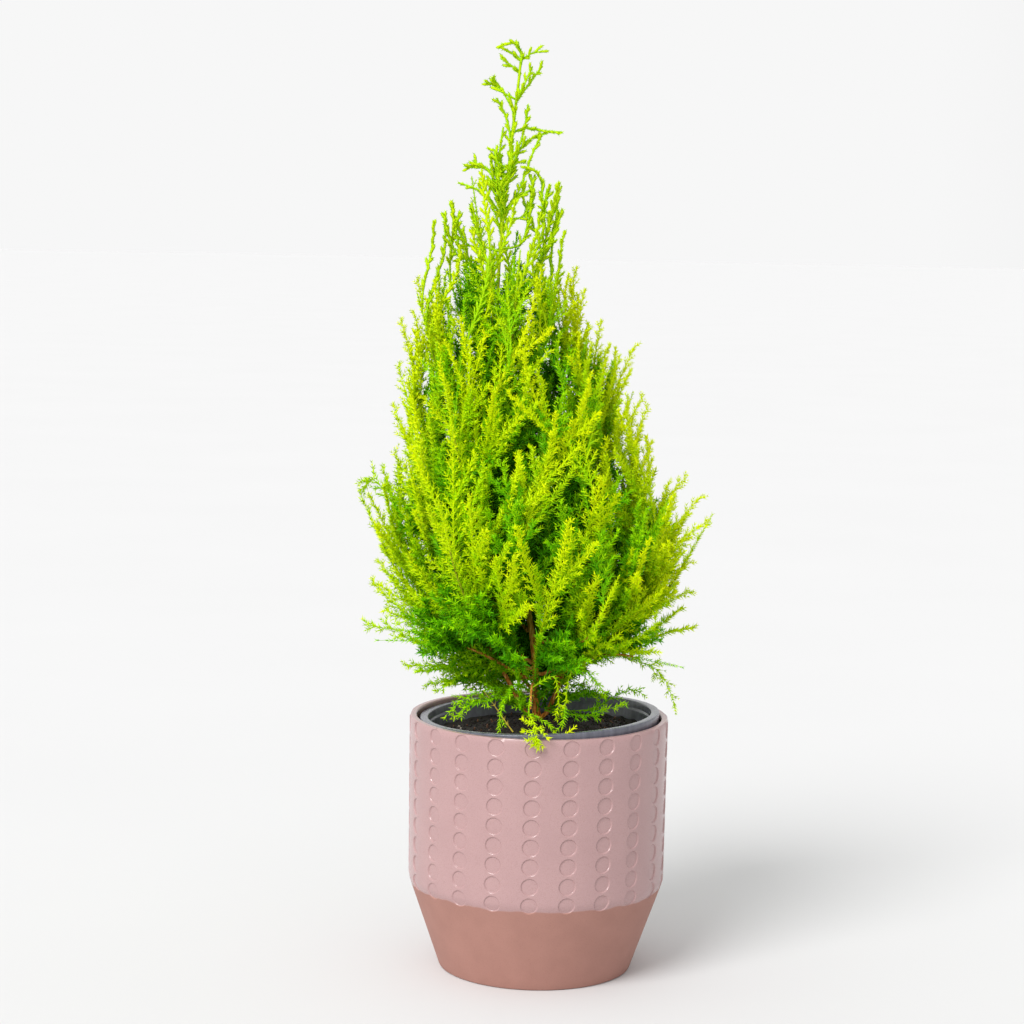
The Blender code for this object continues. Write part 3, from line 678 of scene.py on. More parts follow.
def bark_tube(path, radii, sides, seed):
    """A limb's skin with raised strips of bark, closed at both ends."""
    heading = (path[1] - path[0]).normalized()
    side = heading.orthogonal().normalized()
    points, along = [], 0.0
    for i, (centre, radius) in enumerate(zip(path, radii)):
        ahead = (path[min(i + 1, len(path) - 1)] - path[max(i - 1, 0)]).normalized()
        side = heading.rotation_difference(ahead) @ side
        heading = ahead
        along += (path[i] - path[i - 1]).length if i else 0.0
        for j in range(sides):
            turn = math.tau * j / sides
            x, y, lift = math.cos(turn), math.sin(turn), 0.0
            for round_it, along_it, share in BARK_STRIPS:
                lift += share * noise.noise(Vector((x * round_it, y * round_it, along * along_it + seed)))
            out = radius * (1.0 + BARK_RELIEF * lift)
            points.append(centre + (Quaternion(heading, turn) @ side) * out)
    return points, tube_faces(len(path), sides)


def bark_material():
    material, tree, shader, node = new_material("flaking_bark")
    place = node("ShaderNodeTexCoord")["Object"]
    height = node("ShaderNodeSeparateXYZ", {"Vector": place})["Z"]
    strips = clouds(node, 900.0, 5.0, (1.0, 1.0, 0.22))
    browns = linear(0.56, 0.34, 0.10), linear(0.84, 0.54, 0.20), linear(0.98, 0.78, 0.46)
    brown = ramp(node, strips, *zip((0.34, 0.52, 0.70), browns))
    olive = ramp(node, strips, (0.35, linear(0.44, 0.48, 0.08)), (0.70, linear(0.64, 0.68, 0.16)))
    young = ramp(node, strips, (0.35, linear(0.66, 0.76, 0.04)), (0.70, linear(0.80, 0.88, 0.10)))
    colour = mixed(node, spread(node, height, 0.188, 0.225, 0.0, 1.0), brown, olive)
    colour = mixed(node, spread(node, height, 0.38, 0.45, 0.0, 1.0), colour, young)
    tree.links.new(colour, shader.inputs["Base Color"])
    shader.inputs["Roughness"].default_value = 0.85
    shader.inputs["Specular IOR Level"].default_value = 0.1
    raised(tree, node, shader, strips, 0.7, 0.0004)
    return material


trunk_bends = [TRUNK_FOOT + Vector((0, 0, TRUNK_FLARE_HEIGHT * 0.4))]
trunk_bends += [Vector((x, y, z)) for z, x, y in TRUNK_BENDS]
trunk = [TRUNK_FOOT, *smooth_path(trunk_bends, 150)]
leader = [trunk[-1], *smooth_path([Vector((x, 0.0, z)) for z, x in LEADER_BENDS], 12)[1:]]
routes, limbs = [], []
for tier in TIERS:
    for k in range(tier[0]):
        route, root, furthest = clear_route(trunk, tier, k, routes)
        routes.append(route)
        limbs.append(([root, *route, furthest], tier[-1]))

points, faces = [], []
skins = [bark_tube(trunk, [trunk_radius(p.z) for p in trunk], TRUNK_SIDES, 3.0)]
limb_skins = [(route[:-1], BOUGH_RINGS, BOUGH_RADII, 11.0 * n) for n, (route, _) in enumerate(limbs)]
limb_skins += [(stem, 50, FOOT_STEM_RADII, 7.0 * n) for n, stem in enumerate(FOOT_STEMS)]
for line, rings, ends, seed in limb_skins:
    radii = [between(ends, i / (rings - 1)) for i in range(rings)]
    skins.append(bark_tube(smooth_path(line, rings), radii, BOUGH_SIDES, seed))
for skin_points, skin_faces in skins:
    faces += [tuple(i + len(points) for i in face) for face in skin_faces]
    points += skin_points
bark = new_piece("trunk_and_boughs", points, faces, bark_material())
settle(bark, "bark", "trunk", *(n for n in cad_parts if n.startswith("bough_")))


# The foliage is juvenile: every shoot is a soft brush of short needles that point forward.
# Long flat plumes leave the boughs in layers, bend upwards and end at the crown's outline.
# The low twigs are more open. The needles' tones are dealt out by spray. The youngest needles, at the tips,
# are truly the palest. The tones also hold painted light and shade: paler at the outline, the front and the
# top, and darker deep in the crown and low down.
BRANCH_TIPS = 46
BRANCH_HEIGHTS = (0.20, 0.45)
BRANCH_DEPTH = 0.74
BRANCH_LENGTH = 0.085
BRANCH_RADIUS = 0.0006
# each layer's tips, lowest and highest tip, depth in the crown, length, side length and tone. The deeper
# layers' darker tones are partly the older needles' own deeper green and partly painted shade.
PLUME_LAYERS = (
    (76, 0.222, 0.490, 0.98, 0.095, 0.90, 4.6),
    (80, 0.212, 0.480, 0.86, 0.085, 0.95, 3.8),
    (76, 0.205, 0.450, 0.70, 0.070, 0.95, 2.7),
    (70, 0.205, 0.440, 0.48, 0.045, 0.95, 1.6),
)
PLUME_POINTS = 10
PLUME_START = 0.16
PLUME_RADIUS = 0.00052
PLUME_LONGEST = 2.2
# what a limb's place costs a plume: a start off its best heading, and a climb that is too flat
BEST_HEADING = 0.84
HEADING_COST = 0.8
FLATNESS_COST = 3.0
SIDE_STEP = 0.0030
SIDE_LENGTH = 0.0155
SIDE_RADIUS = 0.00034
SIDE_LEAN = (math.radians(44), math.radians(35))
SIDE_BEND = 0.12
SIDE_LENGTHS = (0.72, 1.2)
SIDE_TAPER = 0.70
SIDE_TURNS = ((0, 1.0), (180, 1.0), (0, 0.85), (180, 0.9), (-70, 0.5))
FORK_PLACES = (0.28, 0.50)
FORK_LEAN = math.radians(28)
FORK_LENGTHS = (0.55, 0.95)
FORK_SIZE = 0.75
CLUB_HEIGHT = 0.430
CLUB_STEM_RADIUS = 0.00075
CLUB_RADIUS = 0.00088
CLUB_STEP = 0.0038
CLUB_LENGTHS = (0.0032, 0.0068)
CLUB_LEANS = (30, 44)
CLUB_LIGHTS = (3.3, 4.6)
TWIG_STEP = 0.0042
TWIG_SIDE = 0.0125
TWIG_LEAN = math.radians(52)
TWIG_LENGTHS = (0.45, 1.25)
TWIG_TAPER = 0.45
FORKED_TWIG = 0.0080
FILL_HEIGHTS = (0.20, 0.43)
FILL_DEPTH = 0.80
FILL_LENGTH = 0.045
FILL_ROUNDS = 3
FILL_TRIES = 1600
FILL_GAP = 0.0081
LEAN_IN_LIMIT = 0.08
LOW_TIPS = 64
LOW_HEIGHTS = (0.162, 0.222)
LOW_DEPTH = 0.95
LOW_LENGTH = 0.080
FOOT_SHOOTS = 18
FOOT_PLACE = (-0.002, 0.008, 0.1560)
FOOT_ROUND = 0.006
FOOT_REACHES = (0.018, 0.040)
FOOT_HEIGHTS = (0.158, 0.172)
LEFT_SHOOTS = 26
# spans of places, as (right, back, up)
LEFT_PLACES = ((-0.064, -0.014), (-0.040, 0.035), (0.162, 0.202))
BACK_TIPS = 44
BACK_PLACES = ((-0.055, 0.060), (0.015, 0.065), (0.172, 0.205))
BACK_LOW_PLACES = ((-0.035, 0.020), (0.012, 0.045), (0.163, 0.190))
LEADER_SHOOTS = 6
LEADER_SHOOT_LENGTHS = (0.018, 0.034)
LEADER_RADIUS = 0.00105
LEADER_END = Vector((-0.0182, 0.0, 0.5480))
FIRST_BEARING = 0.205
LIMB_STEP = 0.002
SIDE_SPREAD = 0.012
UPWARD = Vector((0.0, 0.0, 0.5))
NEEDLE_LENGTH = 0.0036
NEEDLE_WIDTH = 0.00052
NEEDLE_LEAN = math.radians(45)
NEEDLE_STEP = 0.00140
DEEP_COARSE = (1.7, 1.25, 1.0)
CROWN_MARGIN = 0.0045
# each of these tables gives a value at some heights
RISE_AT_TIP = (
    (0.15, -20), (0.18, 0), (0.205, 22), (0.235, 46), (0.27, 62), (0.30, 69), (0.36, 75), (0.50, 82),
)
RISE_AT_RIGHT = ((0.20, 0), (0.235, 22), (0.28, 36), (0.31, 50), (0.345, 66), (0.40, 76), (0.50, 82))
STEEPNESS = ((0.15, -0.5), (0.20, 0.1), (0.24, 0.5), (0.28, 0.74), (0.34, 0.86), (0.40, 0.90))
TIPS_AT_HEIGHT = (
    (0.155, 0.5), (0.195, 0.6), (0.24, 0.85), (0.30, 0.9), (0.36, 1.15), (0.41, 1.1), (0.44, 0.85),
    (0.49, 0.4),
)
NARROWING = ((0.16, 0.55), (0.175, 0.76), (0.20, 0.92), (0.225, 1.0))
SIZE_AT_HEIGHT = ((0.30, 1.0), (0.40, 0.80), (0.48, 0.55))
# steps of tone by height: darker low in the crown, a painted shade, and paler at the top, partly the young
# top's own colour and partly painted light
LIGHT_AT_HEIGHT = (
    (0.16, -1.0), (0.20, -0.5), (0.24, 0.0), (0.28, 0.0), (0.36, 0.4), (0.40, 1.1), (0.45, 1.4),
)
# steps of tone per share of the crown's reach, by height: painted light on the outer shoots and painted
# shade on the inner ones
DEPTH_AT_HEIGHT = ((0.36, 3.0), (0.44, 1.0))
EDGE_SIZE_AT_HEIGHT = ((0.20, 0.7), (0.28, 0.9), (0.46, 0.55))
# paler tones on the crown's right side at half height: painted light, standing in for the light that shines
# through the needles there
SUNNY_RIGHT = ((0.21, 0.2), (0.25, 0.6), (0.29, 1.0), (0.33, 0.8), (0.38, 0.4))
NEEDLE_AT_HEIGHT = ((0.152, 0.76), (0.175, 0.95), (0.24, 1.0), (0.30, 0.92), (0.38, 0.80), (0.44, 0.58))
CLOSE_AT_HEIGHT = ((0.20, 1.0), (0.30, 0.90), (0.46, 0.68))
TAPER_AT_HEIGHT = ((0.36, 0.75), (0.43, 0.1))
# paler tones towards the front: partly the sun side's own golden colour and partly painted light
SUNNY_FRONT = 0.4
# in steps of tone: how much darker a plume's foot and its side shoots are than the plume, a painted shade,
# and how much a shoot brightens to its tip, and side shoots towards their plume's tip, partly the young
# tips' own paleness and partly painted light
FOOT_SHADE, SIDE_SHADE, TONE_RISE, TIP_GLOW = 0.5, 1.1, 1.6, 1.4
# the share of the crown's reach past which shoots are brighter, a painted light, and short of which they are
# darker, a painted shade
EDGE_SHARE = 0.95
# within each reach from the pot's middle, the height that keeps a shoot clear of soil and rims
CLEAR_HEIGHTS = ((0.0648, 0.1535), (0.080, 0.1600), (1.0, 0.115))
# the foot of the trunk and its stems as the front sees them, and how far shoots keep from them
VIEW_SLOPE = 0.19
FOOT_TOP = 0.215
FOOT_GAP = 0.0032
FOOT_LINES = [[Vector((-0.0025, 0.0, 0.149)), Vector((-0.0058, 0.0, 0.202))]]
FOOT_LINES += [[Vector((x, 0.0, z)) for x, y, z in stem[:4]] for stem in FOOT_STEMS]
# the soil that shows at the front: its reach and its top, which is higher towards the front
SHOWN_SOIL_REACH, SHOWN_SOIL_TOP, SHOWN_SOIL_SLOPE = 0.078, 0.168, 0.22
# the open place under the crown's right side: its left end, its top there and the top's slope
OPEN_LEFT, OPEN_TOP, OPEN_SLOPE = 0.022, 0.188, 0.25
TONES = (
    ("shade", linear(0.27, 0.57, 0.0)),
    ("dark", linear(0.38, 0.69, 0.0)),
    ("deep", linear(0.51, 0.79, 0.0)),
    ("mid", linear(0.65, 0.865, 0.0)),
    ("leaf", linear(0.76, 0.90, 0.0)),
    ("bright", linear(0.825, 0.92, 0.0)),
    ("lime", linear(0.88, 0.94, 0.0)),
    ("straw", linear(0.84, 0.76, 0.30)),
)
TWIG_BROWN = linear(0.80, 0.72, 0.25)
TWIG_BROWN_SHARE = 0.08
STRAW = len(TONES) - 1
needle_runs = [[] for _ in TONES]
twig_runs = [[] for _ in TONES]


def look_up(table, value):
    return float(np.interp(value, [row[0] for row in table], [row[1] for row in table]))


def turned_away(heading, lean, turn):
    """A direction that leans from a heading, to the side that the turn gives."""
    side = Quaternion(heading, turn) @ heading.orthogonal().normalized()
    return (heading * math.cos(lean) + side * math.sin(lean)).normalized()


def inside_crown(point):
    middle, reach = crown_at(point.z)
    reach = reach * look_up(NARROWING, point.z) + CROWN_MARGIN
    return point.z < LEADER_TOP and math.hypot(point.x - middle, point.y) < reach


def over_the_pot(point):
    """True where a point is clear of the soil and of both rims."""
    radius = math.hypot(point.x, point.y)
    return point.z > next(height for reach, height in CLEAR_HEIGHTS if radius < reach)


def shows_trunk(point):
    """True where a point doesn't hide the stems at the foot from the front and a little above."""
    if point.y > 0.002 or point.z > FOOT_TOP:
        return True
    seen = Vector((point.x, 0.0, point.z - VIEW_SLOPE * (0.005 - point.y)))
    return all(distance_to_path(seen, line) > FOOT_GAP for line in FOOT_LINES)


def shows_soil(point):
    top = SHOWN_SOIL_TOP - SHOWN_SOIL_SLOPE * point.y
    return math.hypot(point.x, point.y) > SHOWN_SOIL_REACH or point.z > top


def shows_sky(point):
    """True where a point is clear of the open place under the crown's right side."""
    if point.x < OPEN_LEFT or point.z > OPEN_TOP + OPEN_SLOPE * (point.x - OPEN_LEFT):
        return True
    return point.y > 0.03 and point.x < 0.045


def fits(path):
    """True for a path inside the crown that hides no opening and doesn't lean back inward."""
    leans_in = outwardness(path[0]) - outwardness(path[-1])
    if leans_in > LEAN_IN_LIMIT or not inside_crown(path[-1]):
        return False
    return all(over_the_pot(p) and shows_trunk(p) and shows_soil(p) and shows_sky(p) for p in path[1:])


def outwardness(point):
    """0 at the crown's middle, 1 at its outline."""
    middle, reach = crown_at(point.z)
    return math.hypot(point.x - middle, point.y) / reach


def sunny(point):
    """Steps of paler tone at the front, partly the sun side's own golden colour and partly painted light,
    and at half height on the right side, painted light alone.
    """
    middle, reach = crown_at(point.z)
    frontward = -point.y / reach
    rightward = max(0.0, (point.x - middle) / reach)
    return SUNNY_FRONT * (frontward - 0.4) + look_up(SUNNY_RIGHT, point.z) * rightward


def arching(root, heading, length, bend, count):
    """A shoot's path, bent at each step by a share of the given direction."""
    path, step = [root], length / (count - 1)
    for i in range(count - 1):
        heading = (heading + bend / (count - 1)).normalized()
        path.append(path[-1] + heading * step)
    return path


def along_path(path, share):
    """A point on a path and the path's direction there."""
    place_at = share * (len(path) - 1)
    k = min(int(place_at), len(path) - 2)
    return path[k].lerp(path[k + 1], place_at - k), (path[k + 1] - path[k]).normalized()


def path_length(path):
    return sum((b - a).length for a, b in zip(path, path[1:]))


def part_of(path, start, end, count):
    return [along_path(path, between((start, end), i / (count - 1)))[0] for i in range(count)]


def tone_of(light):
    """A tone's number, from the darkest to the palest green. A light past them all is straw."""
    return STRAW if light > STRAW + 2 else min(max(int(light), 0), STRAW - 1)


def keep_shoot(path, light, rise, thick, dense=1.0, sections=2, swell=0.0):
    """Stores a shoot's twig and its needles, whose tone rises from the foot to the tip."""
    taper = look_up(TAPER_AT_HEIGHT, path[-1].z)
    skin = path if light > 2 else part_of(path, 0.0, 1.0, max(2, len(path) // 2))
    shares = [i / (len(skin) - 1) for i in range(len(skin))]
    widths = [thick * (1.0 - taper * s) * (1.0 + swell * (s - 0.3)) for s in shares]
    widths[-1] *= 1.0 - 0.6 * swell
    twig_runs[tone_of(light + 0.4)].append((skin, widths))
    size = look_up(NEEDLE_AT_HEIGHT, path[-1].z)
    close = look_up(CLOSE_AT_HEIGHT, path[-1].z)
    for k in range(sections):
        share = (k / sections, (k + 1) / sections)
        run = part_of(path, max(share[0], 0.04), share[1], max(2, round(len(path) / sections) + 1))
        tone = tone_of(light + rise * (k + 0.5) / sections)
        body = len(run) - 1
        last = k == sections - 1
        needles = [size * (1.0 + swell * (k - 0.5))] * body + [size * (0.75 if last else 1.0)]
        spreads = [close] * body + [0.5 if last else close]
        needle_runs[tone].append((run, needles, spreads, [dense] * len(run)))


def side_heading(root, onward, lean, degrees):
    """A direction that leans from a plume's axis, at 0 and 180 degrees along the crown's surface."""
    outward = Vector((root.x - crown_at(root.z)[0], root.y, 0.02))
    across = onward.cross(outward).normalized()
    turn = math.radians(degrees)
    aside = across * math.cos(turn) + across.cross(onward) * math.sin(turn)
    return onward * math.cos(lean) + aside * math.sin(lean)


def add_sides(path, size, rng, start, light, free=False):
    """The side shoots of a plume, most of them to its left and right, and longest near its foot."""
    step = SIDE_STEP * size**0.4 * (1.3 if light < 2.5 else 1.0)
    roll = 90 if free else rng.uniform(-50, 50)
    count = max(2, round(path_length(path) * (1 - start) / step))
    first = rng.randrange(len(SIDE_TURNS))
    for k in range(count):
        share = start + (0.97 - start) * k / (count - 1)
        root, onward = along_path(path, share)
        degrees, part = SIDE_TURNS[(first + k) % len(SIDE_TURNS)]
        lean = between(SIDE_LEAN, share) * rng.uniform(0.88, 1.12)
        heading = side_heading(root, onward, lean, degrees + roll + rng.uniform(-18, 18))
        length = SIDE_LENGTH * size * part * (1.0 - SIDE_TAPER * share**1.2) * rng.uniform(*SIDE_LENGTHS)
        bend = (onward + UPWARD) * SIDE_BEND
        for part_length in (length, length * 0.5):
            side = arching(root, heading, part_length, bend, 3)
            if over_the_pot(side[-1]) if free else fits(side):
                outer = look_up(DEPTH_AT_HEIGHT, root.z) * (outwardness(side[-1]) - EDGE_SHARE)
                glow = light - SIDE_SHADE + TIP_GLOW * share + outer + rng.uniform(-0.25, 0.25)
                keep_shoot(side, glow, 1.8, SIDE_RADIUS)
                break


def add_clubs(path, rng, light=3.4):
    """A spray of the leader and the top: a stout shoot with short blunt side shoots."""
    keep_shoot(path, light, 1.0, CLUB_STEM_RADIUS)
    count = max(2, round(path_length(path) / CLUB_STEP))
    for k in range(count):
        share = 0.2 + 0.75 * (k + 0.5) / count
        root, onward = along_path(path, share)
        lean = math.radians(rng.uniform(*CLUB_LEANS))
        off = side_heading(root, onward, lean, (k % 2) * 180 + rng.uniform(-50, 50))
        length = rng.uniform(*CLUB_LENGTHS) * (1.3 - 0.5 * share)
        club = arching(root, off, length, onward * 0.3, 5)
        keep_shoot(club, light + 0.2, 0.8, CLUB_RADIUS, 1.0, 2, 0.6)


def add_twig(path, light, rng, start=0.25, size=1.0, dense=0.75):
    """An open twig: a shoot with short side shoots, all with fewer needles than a plume's."""
    keep_shoot(path, light, TONE_RISE, PLUME_RADIUS, dense, 3)
    count = max(2, round(path_length(path) * (1 - start) / TWIG_STEP))
    for k in range(count):
        share = start + (0.96 - start) * k / (count - 1)
        root, onward = along_path(path, share)
        lean = TWIG_LEAN * rng.uniform(0.75, 1.1)
        off = turned_away(onward, lean, (k % 2) * math.pi + rng.uniform(-0.8, 0.8))
        length = TWIG_SIDE * size * (1.0 - TWIG_TAPER * share) * rng.uniform(*TWIG_LENGTHS)
        side = arching(root, off, length, onward * 0.3, 3)
        if not over_the_pot(side[-1]) or not shows_trunk(side[-1]):
            continue
        glow = light + TIP_GLOW * share + rng.uniform(-0.3, 0.3)
        keep_shoot(side, glow, 1.2, SIDE_RADIUS, dense)
        if length > FORKED_TWIG:
            base, on = along_path(side, 0.45)
            off = turned_away(on, TWIG_LEAN, rng.uniform(0, math.tau))
            small = arching(base, off, length * 0.5, on * 0.2, 2)
            if over_the_pot(small[-1]):
                keep_shoot(small, glow + 0.8, 0.0, SIDE_RADIUS * 0.8, dense, 1)


def even_tips(count, low, high, depth, rng):
    """Places dealt out evenly in a spiral round the crown, at about a share of its reach."""
    heights = np.linspace(low, high, 240)
    weights = [crown_at(h)[1] * look_up(TIPS_AT_HEIGHT, h) for h in heights]
    shares = np.cumsum(weights) / sum(weights)
    tips = []
    for i in range(count):
        height = float(np.interp((i + rng.uniform(0.1, 0.9)) / count, shares, heights))
        middle, reach = crown_at(height)
        out = reach * depth * look_up(NARROWING, height) * rng.uniform(0.88, 1.0)
        turn = i * GOLDEN_ANGLE
        tips.append(Vector((middle + out * math.cos(turn), out * math.sin(turn), height)))
    return tips


def limb_places(paths):
    """Points along the limbs where plumes may start, and the limbs' directions there."""
    places, headings = [], []
    for path, start in paths:
        count = max(4, round(path_length(path) * (1 - start) / LIMB_STEP))
        for k in range(count):
            place, heading = along_path(path, start + (0.98 - start) * k / (count - 1))
            places.append(place)
            headings.append(heading)
    return np.array(places), np.array(headings)


def plume_to(tip, length, rng, rises=RISE_AT_TIP):
    """A plume's path from the limb that suits it best, bent up to its tip."""
    runs = np.array(tip) - places
    spans = np.maximum(np.linalg.norm(runs, axis=1), 1e-4)
    ahead = (runs * headings).sum(axis=1) / spans
    flat = np.maximum(0.0, look_up(STEEPNESS, tip.z) - runs[:, 2] / spans)
    cost = abs(spans / length - 1) + HEADING_COST * abs(ahead - BEST_HEADING) + FLATNESS_COST * flat
    best = int(np.argmin(cost))
    root, heading = Vector(places[best]), Vector(headings[best])
    span = (tip - root).length
    outward = Vector((tip.x - crown_at(tip.z)[0], tip.y, 0.0)).normalized()
    rise = math.radians(look_up(rises, tip.z) + rng.uniform(-8, 8))
    last = outward * math.cos(rise) + Vector((0, 0, math.sin(rise)))
    first = (heading + (tip - root) / span).normalized()
    return bezier(root, root + first * span * 0.34, tip - last * span * 0.36, tip, PLUME_POINTS)


def add_plume(tip, length, size, light, rng, start=PLUME_START, rises=None):
    """A plume where there is room for it. One with its own rises is measured, and always grows."""
    path = plume_to(tip, length, rng, rises or RISE_AT_TIP)
    if rises or (fits(path) and path_length(path) < PLUME_LONGEST * length):
        light += rng.uniform(-0.2, 0.2) + look_up(LIGHT_AT_HEIGHT, tip.z) + sunny(tip)
        if tip.z > CLUB_HEIGHT:
            add_clubs(path, rng, rng.uniform(*CLUB_LIGHTS))
        else:
            keep_shoot(path, light - FOOT_SHADE, TONE_RISE, PLUME_RADIUS, 1.0, 4)
            add_sides(path, size, rng, start, light, bool(rises))
            add_forks(path, size, light, rng)


def add_forks(path, size, light, rng):
    """Long slender shoots that leave a plume to its left and right and rise beside it."""
    first = rng.randrange(2)
    for k, share in enumerate(FORK_PLACES):
        root, onward = along_path(path, share)
        lean = FORK_LEAN * rng.uniform(0.8, 1.25)
        heading = side_heading(root, onward, lean, 180 * ((first + k) % 2) + rng.uniform(-25, 25))
        length = path_length(path) * (1.0 - share) * rng.uniform(*FORK_LENGTHS)
        fork = arching(root, heading, length, (onward + UPWARD) * 0.2, 8)
        if fits(fork):
            light_here = light + 3.0 * (outwardness(fork[-1]) - EDGE_SHARE)
            keep_shoot(fork, light_here - FOOT_SHADE, TONE_RISE, PLUME_RADIUS * FORK_SIZE, 1.0, 3)
            add_sides(fork, size * FORK_SIZE, rng, 0.1, light_here)


def fill_gaps(rng):
    """Short plumes that end where the crown is still bare. Their low tone is a painted shade that keeps the
    filled gaps dark.
    """
    grown_points = [p for runs in needle_runs for path, *_ in runs for p in path]
    tree = KDTree(len(grown_points))
    for i, p in enumerate(grown_points):
        tree.insert(p, i)
    tree.balance()
    for tip in even_tips(FILL_TRIES, *FILL_HEIGHTS, FILL_DEPTH, rng):
        middle, _ = crown_at(tip.z)
        inner = rng.uniform(0.35, 1.1)
        tip = Vector((middle + (tip.x - middle) * inner, tip.y * inner, tip.z))
        if tree.find(tip)[2] > FILL_GAP:
            add_plume(tip, FILL_LENGTH, 0.85, 2.2, rng)


# tips of the plumes that make the outline, as (right, up)
LEFT_TIPS = (
    (-0.0579, 0.4628), (-0.0685, 0.4514), (-0.0781, 0.4174), (-0.0796, 0.3977), (-0.0879, 0.3928),
    (-0.0705, 0.3920), (-0.0914, 0.3413), (-0.0992, 0.2473), (-0.1033, 0.2350), (-0.0820, 0.1846),
    (-0.0890, 0.3660), (-0.0900, 0.3150), (-0.1000, 0.2720), (-0.0690, 0.1719),
)
RIGHT_TIPS = (
    (0.0048, 0.4746), (0.0075, 0.4599), (0.0090, 0.4469), (0.0172, 0.4258), (0.0222, 0.4128),
    (0.0251, 0.3920), (0.0322, 0.3946), (0.0357, 0.3714), (0.0534, 0.3801), (0.0583, 0.3503),
    (0.0615, 0.3443), (0.0644, 0.3233), (0.0866, 0.3009), (0.0960, 0.2896), (0.0990, 0.2758),
    (0.0904, 0.2512), (0.0909, 0.2330), (0.0939, 0.2098),
)
# sprays of the leader, as (right, up)
LEADER_SPRAYS = (
    ((-0.0182, 0.5470), (-0.0192, 0.5530), (-0.0216, 0.5558), (-0.0265, 0.5563), (-0.0318, 0.5534)),
    ((-0.0186, 0.5465), (-0.0243, 0.5506), (-0.0298, 0.5531)),
    ((-0.0182, 0.5468), (-0.0118, 0.5508), (-0.0035, 0.5521)),
    ((-0.0192, 0.5398), (-0.0254, 0.5440), (-0.0304, 0.5474)),
    ((-0.0202, 0.5240), (-0.0150, 0.5350), (-0.0119, 0.5422)),
    ((-0.0202, 0.5235), (-0.0122, 0.5348), (-0.0060, 0.5434)),
    ((-0.0217, 0.5150), (-0.0267, 0.5248), (-0.0315, 0.5318), (-0.0354, 0.5360)),
    ((-0.0290, 0.5275), (-0.0342, 0.5317), (-0.0393, 0.5338)),
    ((-0.0238, 0.4960), (-0.0247, 0.5060), (-0.0280, 0.5160), (-0.0324, 0.5240)),
    ((-0.0240, 0.4790), (-0.0197, 0.4921), (-0.0154, 0.5080), (-0.0138, 0.5205)),
    ((-0.0226, 0.5040), (-0.0144, 0.5073), (-0.0052, 0.5056), (0.0068, 0.5049)),
    ((-0.0197, 0.4921), (-0.0152, 0.4985), (-0.0097, 0.5017), (-0.0024, 0.5044)),
    ((-0.0245, 0.4610), (-0.0192, 0.4675), (-0.0148, 0.4794), (-0.0096, 0.4946), (-0.0051, 0.5030)),
    ((-0.0270, 0.4590), (-0.0318, 0.4709), (-0.0307, 0.4883), (-0.0282, 0.5070)),
    ((-0.0310, 0.4860), (-0.0326, 0.4915), (-0.0342, 0.4944)),
    ((-0.0320, 0.4705), (-0.0345, 0.4805), (-0.0349, 0.4905)),
    ((-0.0236, 0.4820), (-0.0196, 0.4866), (-0.0149, 0.4867)),
    ((-0.0040, 0.4600), (-0.0046, 0.4745), (-0.0084, 0.4815), (-0.0138, 0.4838)),
    ((0.0015, 0.4540), (0.0042, 0.4660), (0.0054, 0.4752)),
    ((-0.0050, 0.4540), (-0.0022, 0.4655), (0.0001, 0.4719)),
    ((-0.0150, 0.4550), (-0.0110, 0.4665), (-0.0091, 0.4795)),
    ((-0.0264, 0.4600), (-0.0276, 0.4746), (-0.0283, 0.4837)),
    ((-0.0290, 0.4610), (-0.0350, 0.4730), (-0.0388, 0.4760)),
    ((-0.0300, 0.4720), (-0.0374, 0.4826), (-0.0418, 0.4840), (-0.0456, 0.4874)),
    ((-0.0400, 0.4834), (-0.0450, 0.4838), (-0.0489, 0.4830)),
    ((-0.0290, 0.4560), (-0.0352, 0.4645), (-0.0432, 0.4706), (-0.0543, 0.4742)),
    ((-0.0255, 0.4480), (-0.0264, 0.4571), (-0.0315, 0.4773), (-0.0334, 0.4940)),
    ((-0.0365, 0.4280), (-0.0411, 0.4412), (-0.0462, 0.4618)),
    ((-0.0285, 0.4430), (-0.0319, 0.4555), (-0.0377, 0.4700), (-0.0386, 0.4754)),
    ((-0.0395, 0.4380), (-0.0444, 0.4521), (-0.0470, 0.4612)),
    ((-0.0250, 0.4590), (-0.0195, 0.4651), (-0.0110, 0.4713)),
    ((-0.0170, 0.4380), (-0.0129, 0.4496), (-0.0101, 0.4653), (-0.0112, 0.4797)),
    ((-0.0080, 0.4330), (-0.0034, 0.4466), (-0.0016, 0.4713)),
    ((0.0015, 0.4400), (0.0043, 0.4562), (0.0050, 0.4746)),
    ((-0.0015, 0.4350), (0.0029, 0.4468), (0.0073, 0.4590)),
    ((-0.0500, 0.4290), (-0.0553, 0.4457), (-0.0535, 0.4563)),
    ((-0.0540, 0.4310), (-0.0601, 0.4456), (-0.0632, 0.4560)),
    ((-0.0500, 0.4390), (-0.0571, 0.4550), (-0.0588, 0.4624)),
)
# strands of the bright sprig that hangs over the rim in front, as (right, up)
FRONT_PLACE = -0.083
FRONT_SPRIG = (
    ((-0.0051, 0.1699), (-0.0023, 0.1646), (-0.0010, 0.1568), (-0.0004, 0.1508)),
    ((-0.0028, 0.1655), (-0.0058, 0.1670), (-0.0087, 0.1674)),
    ((-0.0020, 0.1614), (-0.0053, 0.1614), (-0.0082, 0.1605)),
    ((-0.0012, 0.1576), (-0.0054, 0.1557)),
    ((-0.0016, 0.1625), (0.0023, 0.1608), (0.0046, 0.1575)),
    ((-0.0010, 0.1565), (0.0017, 0.1524)),
    ((-0.0010, 0.1548), (-0.0029, 0.1529)),
)
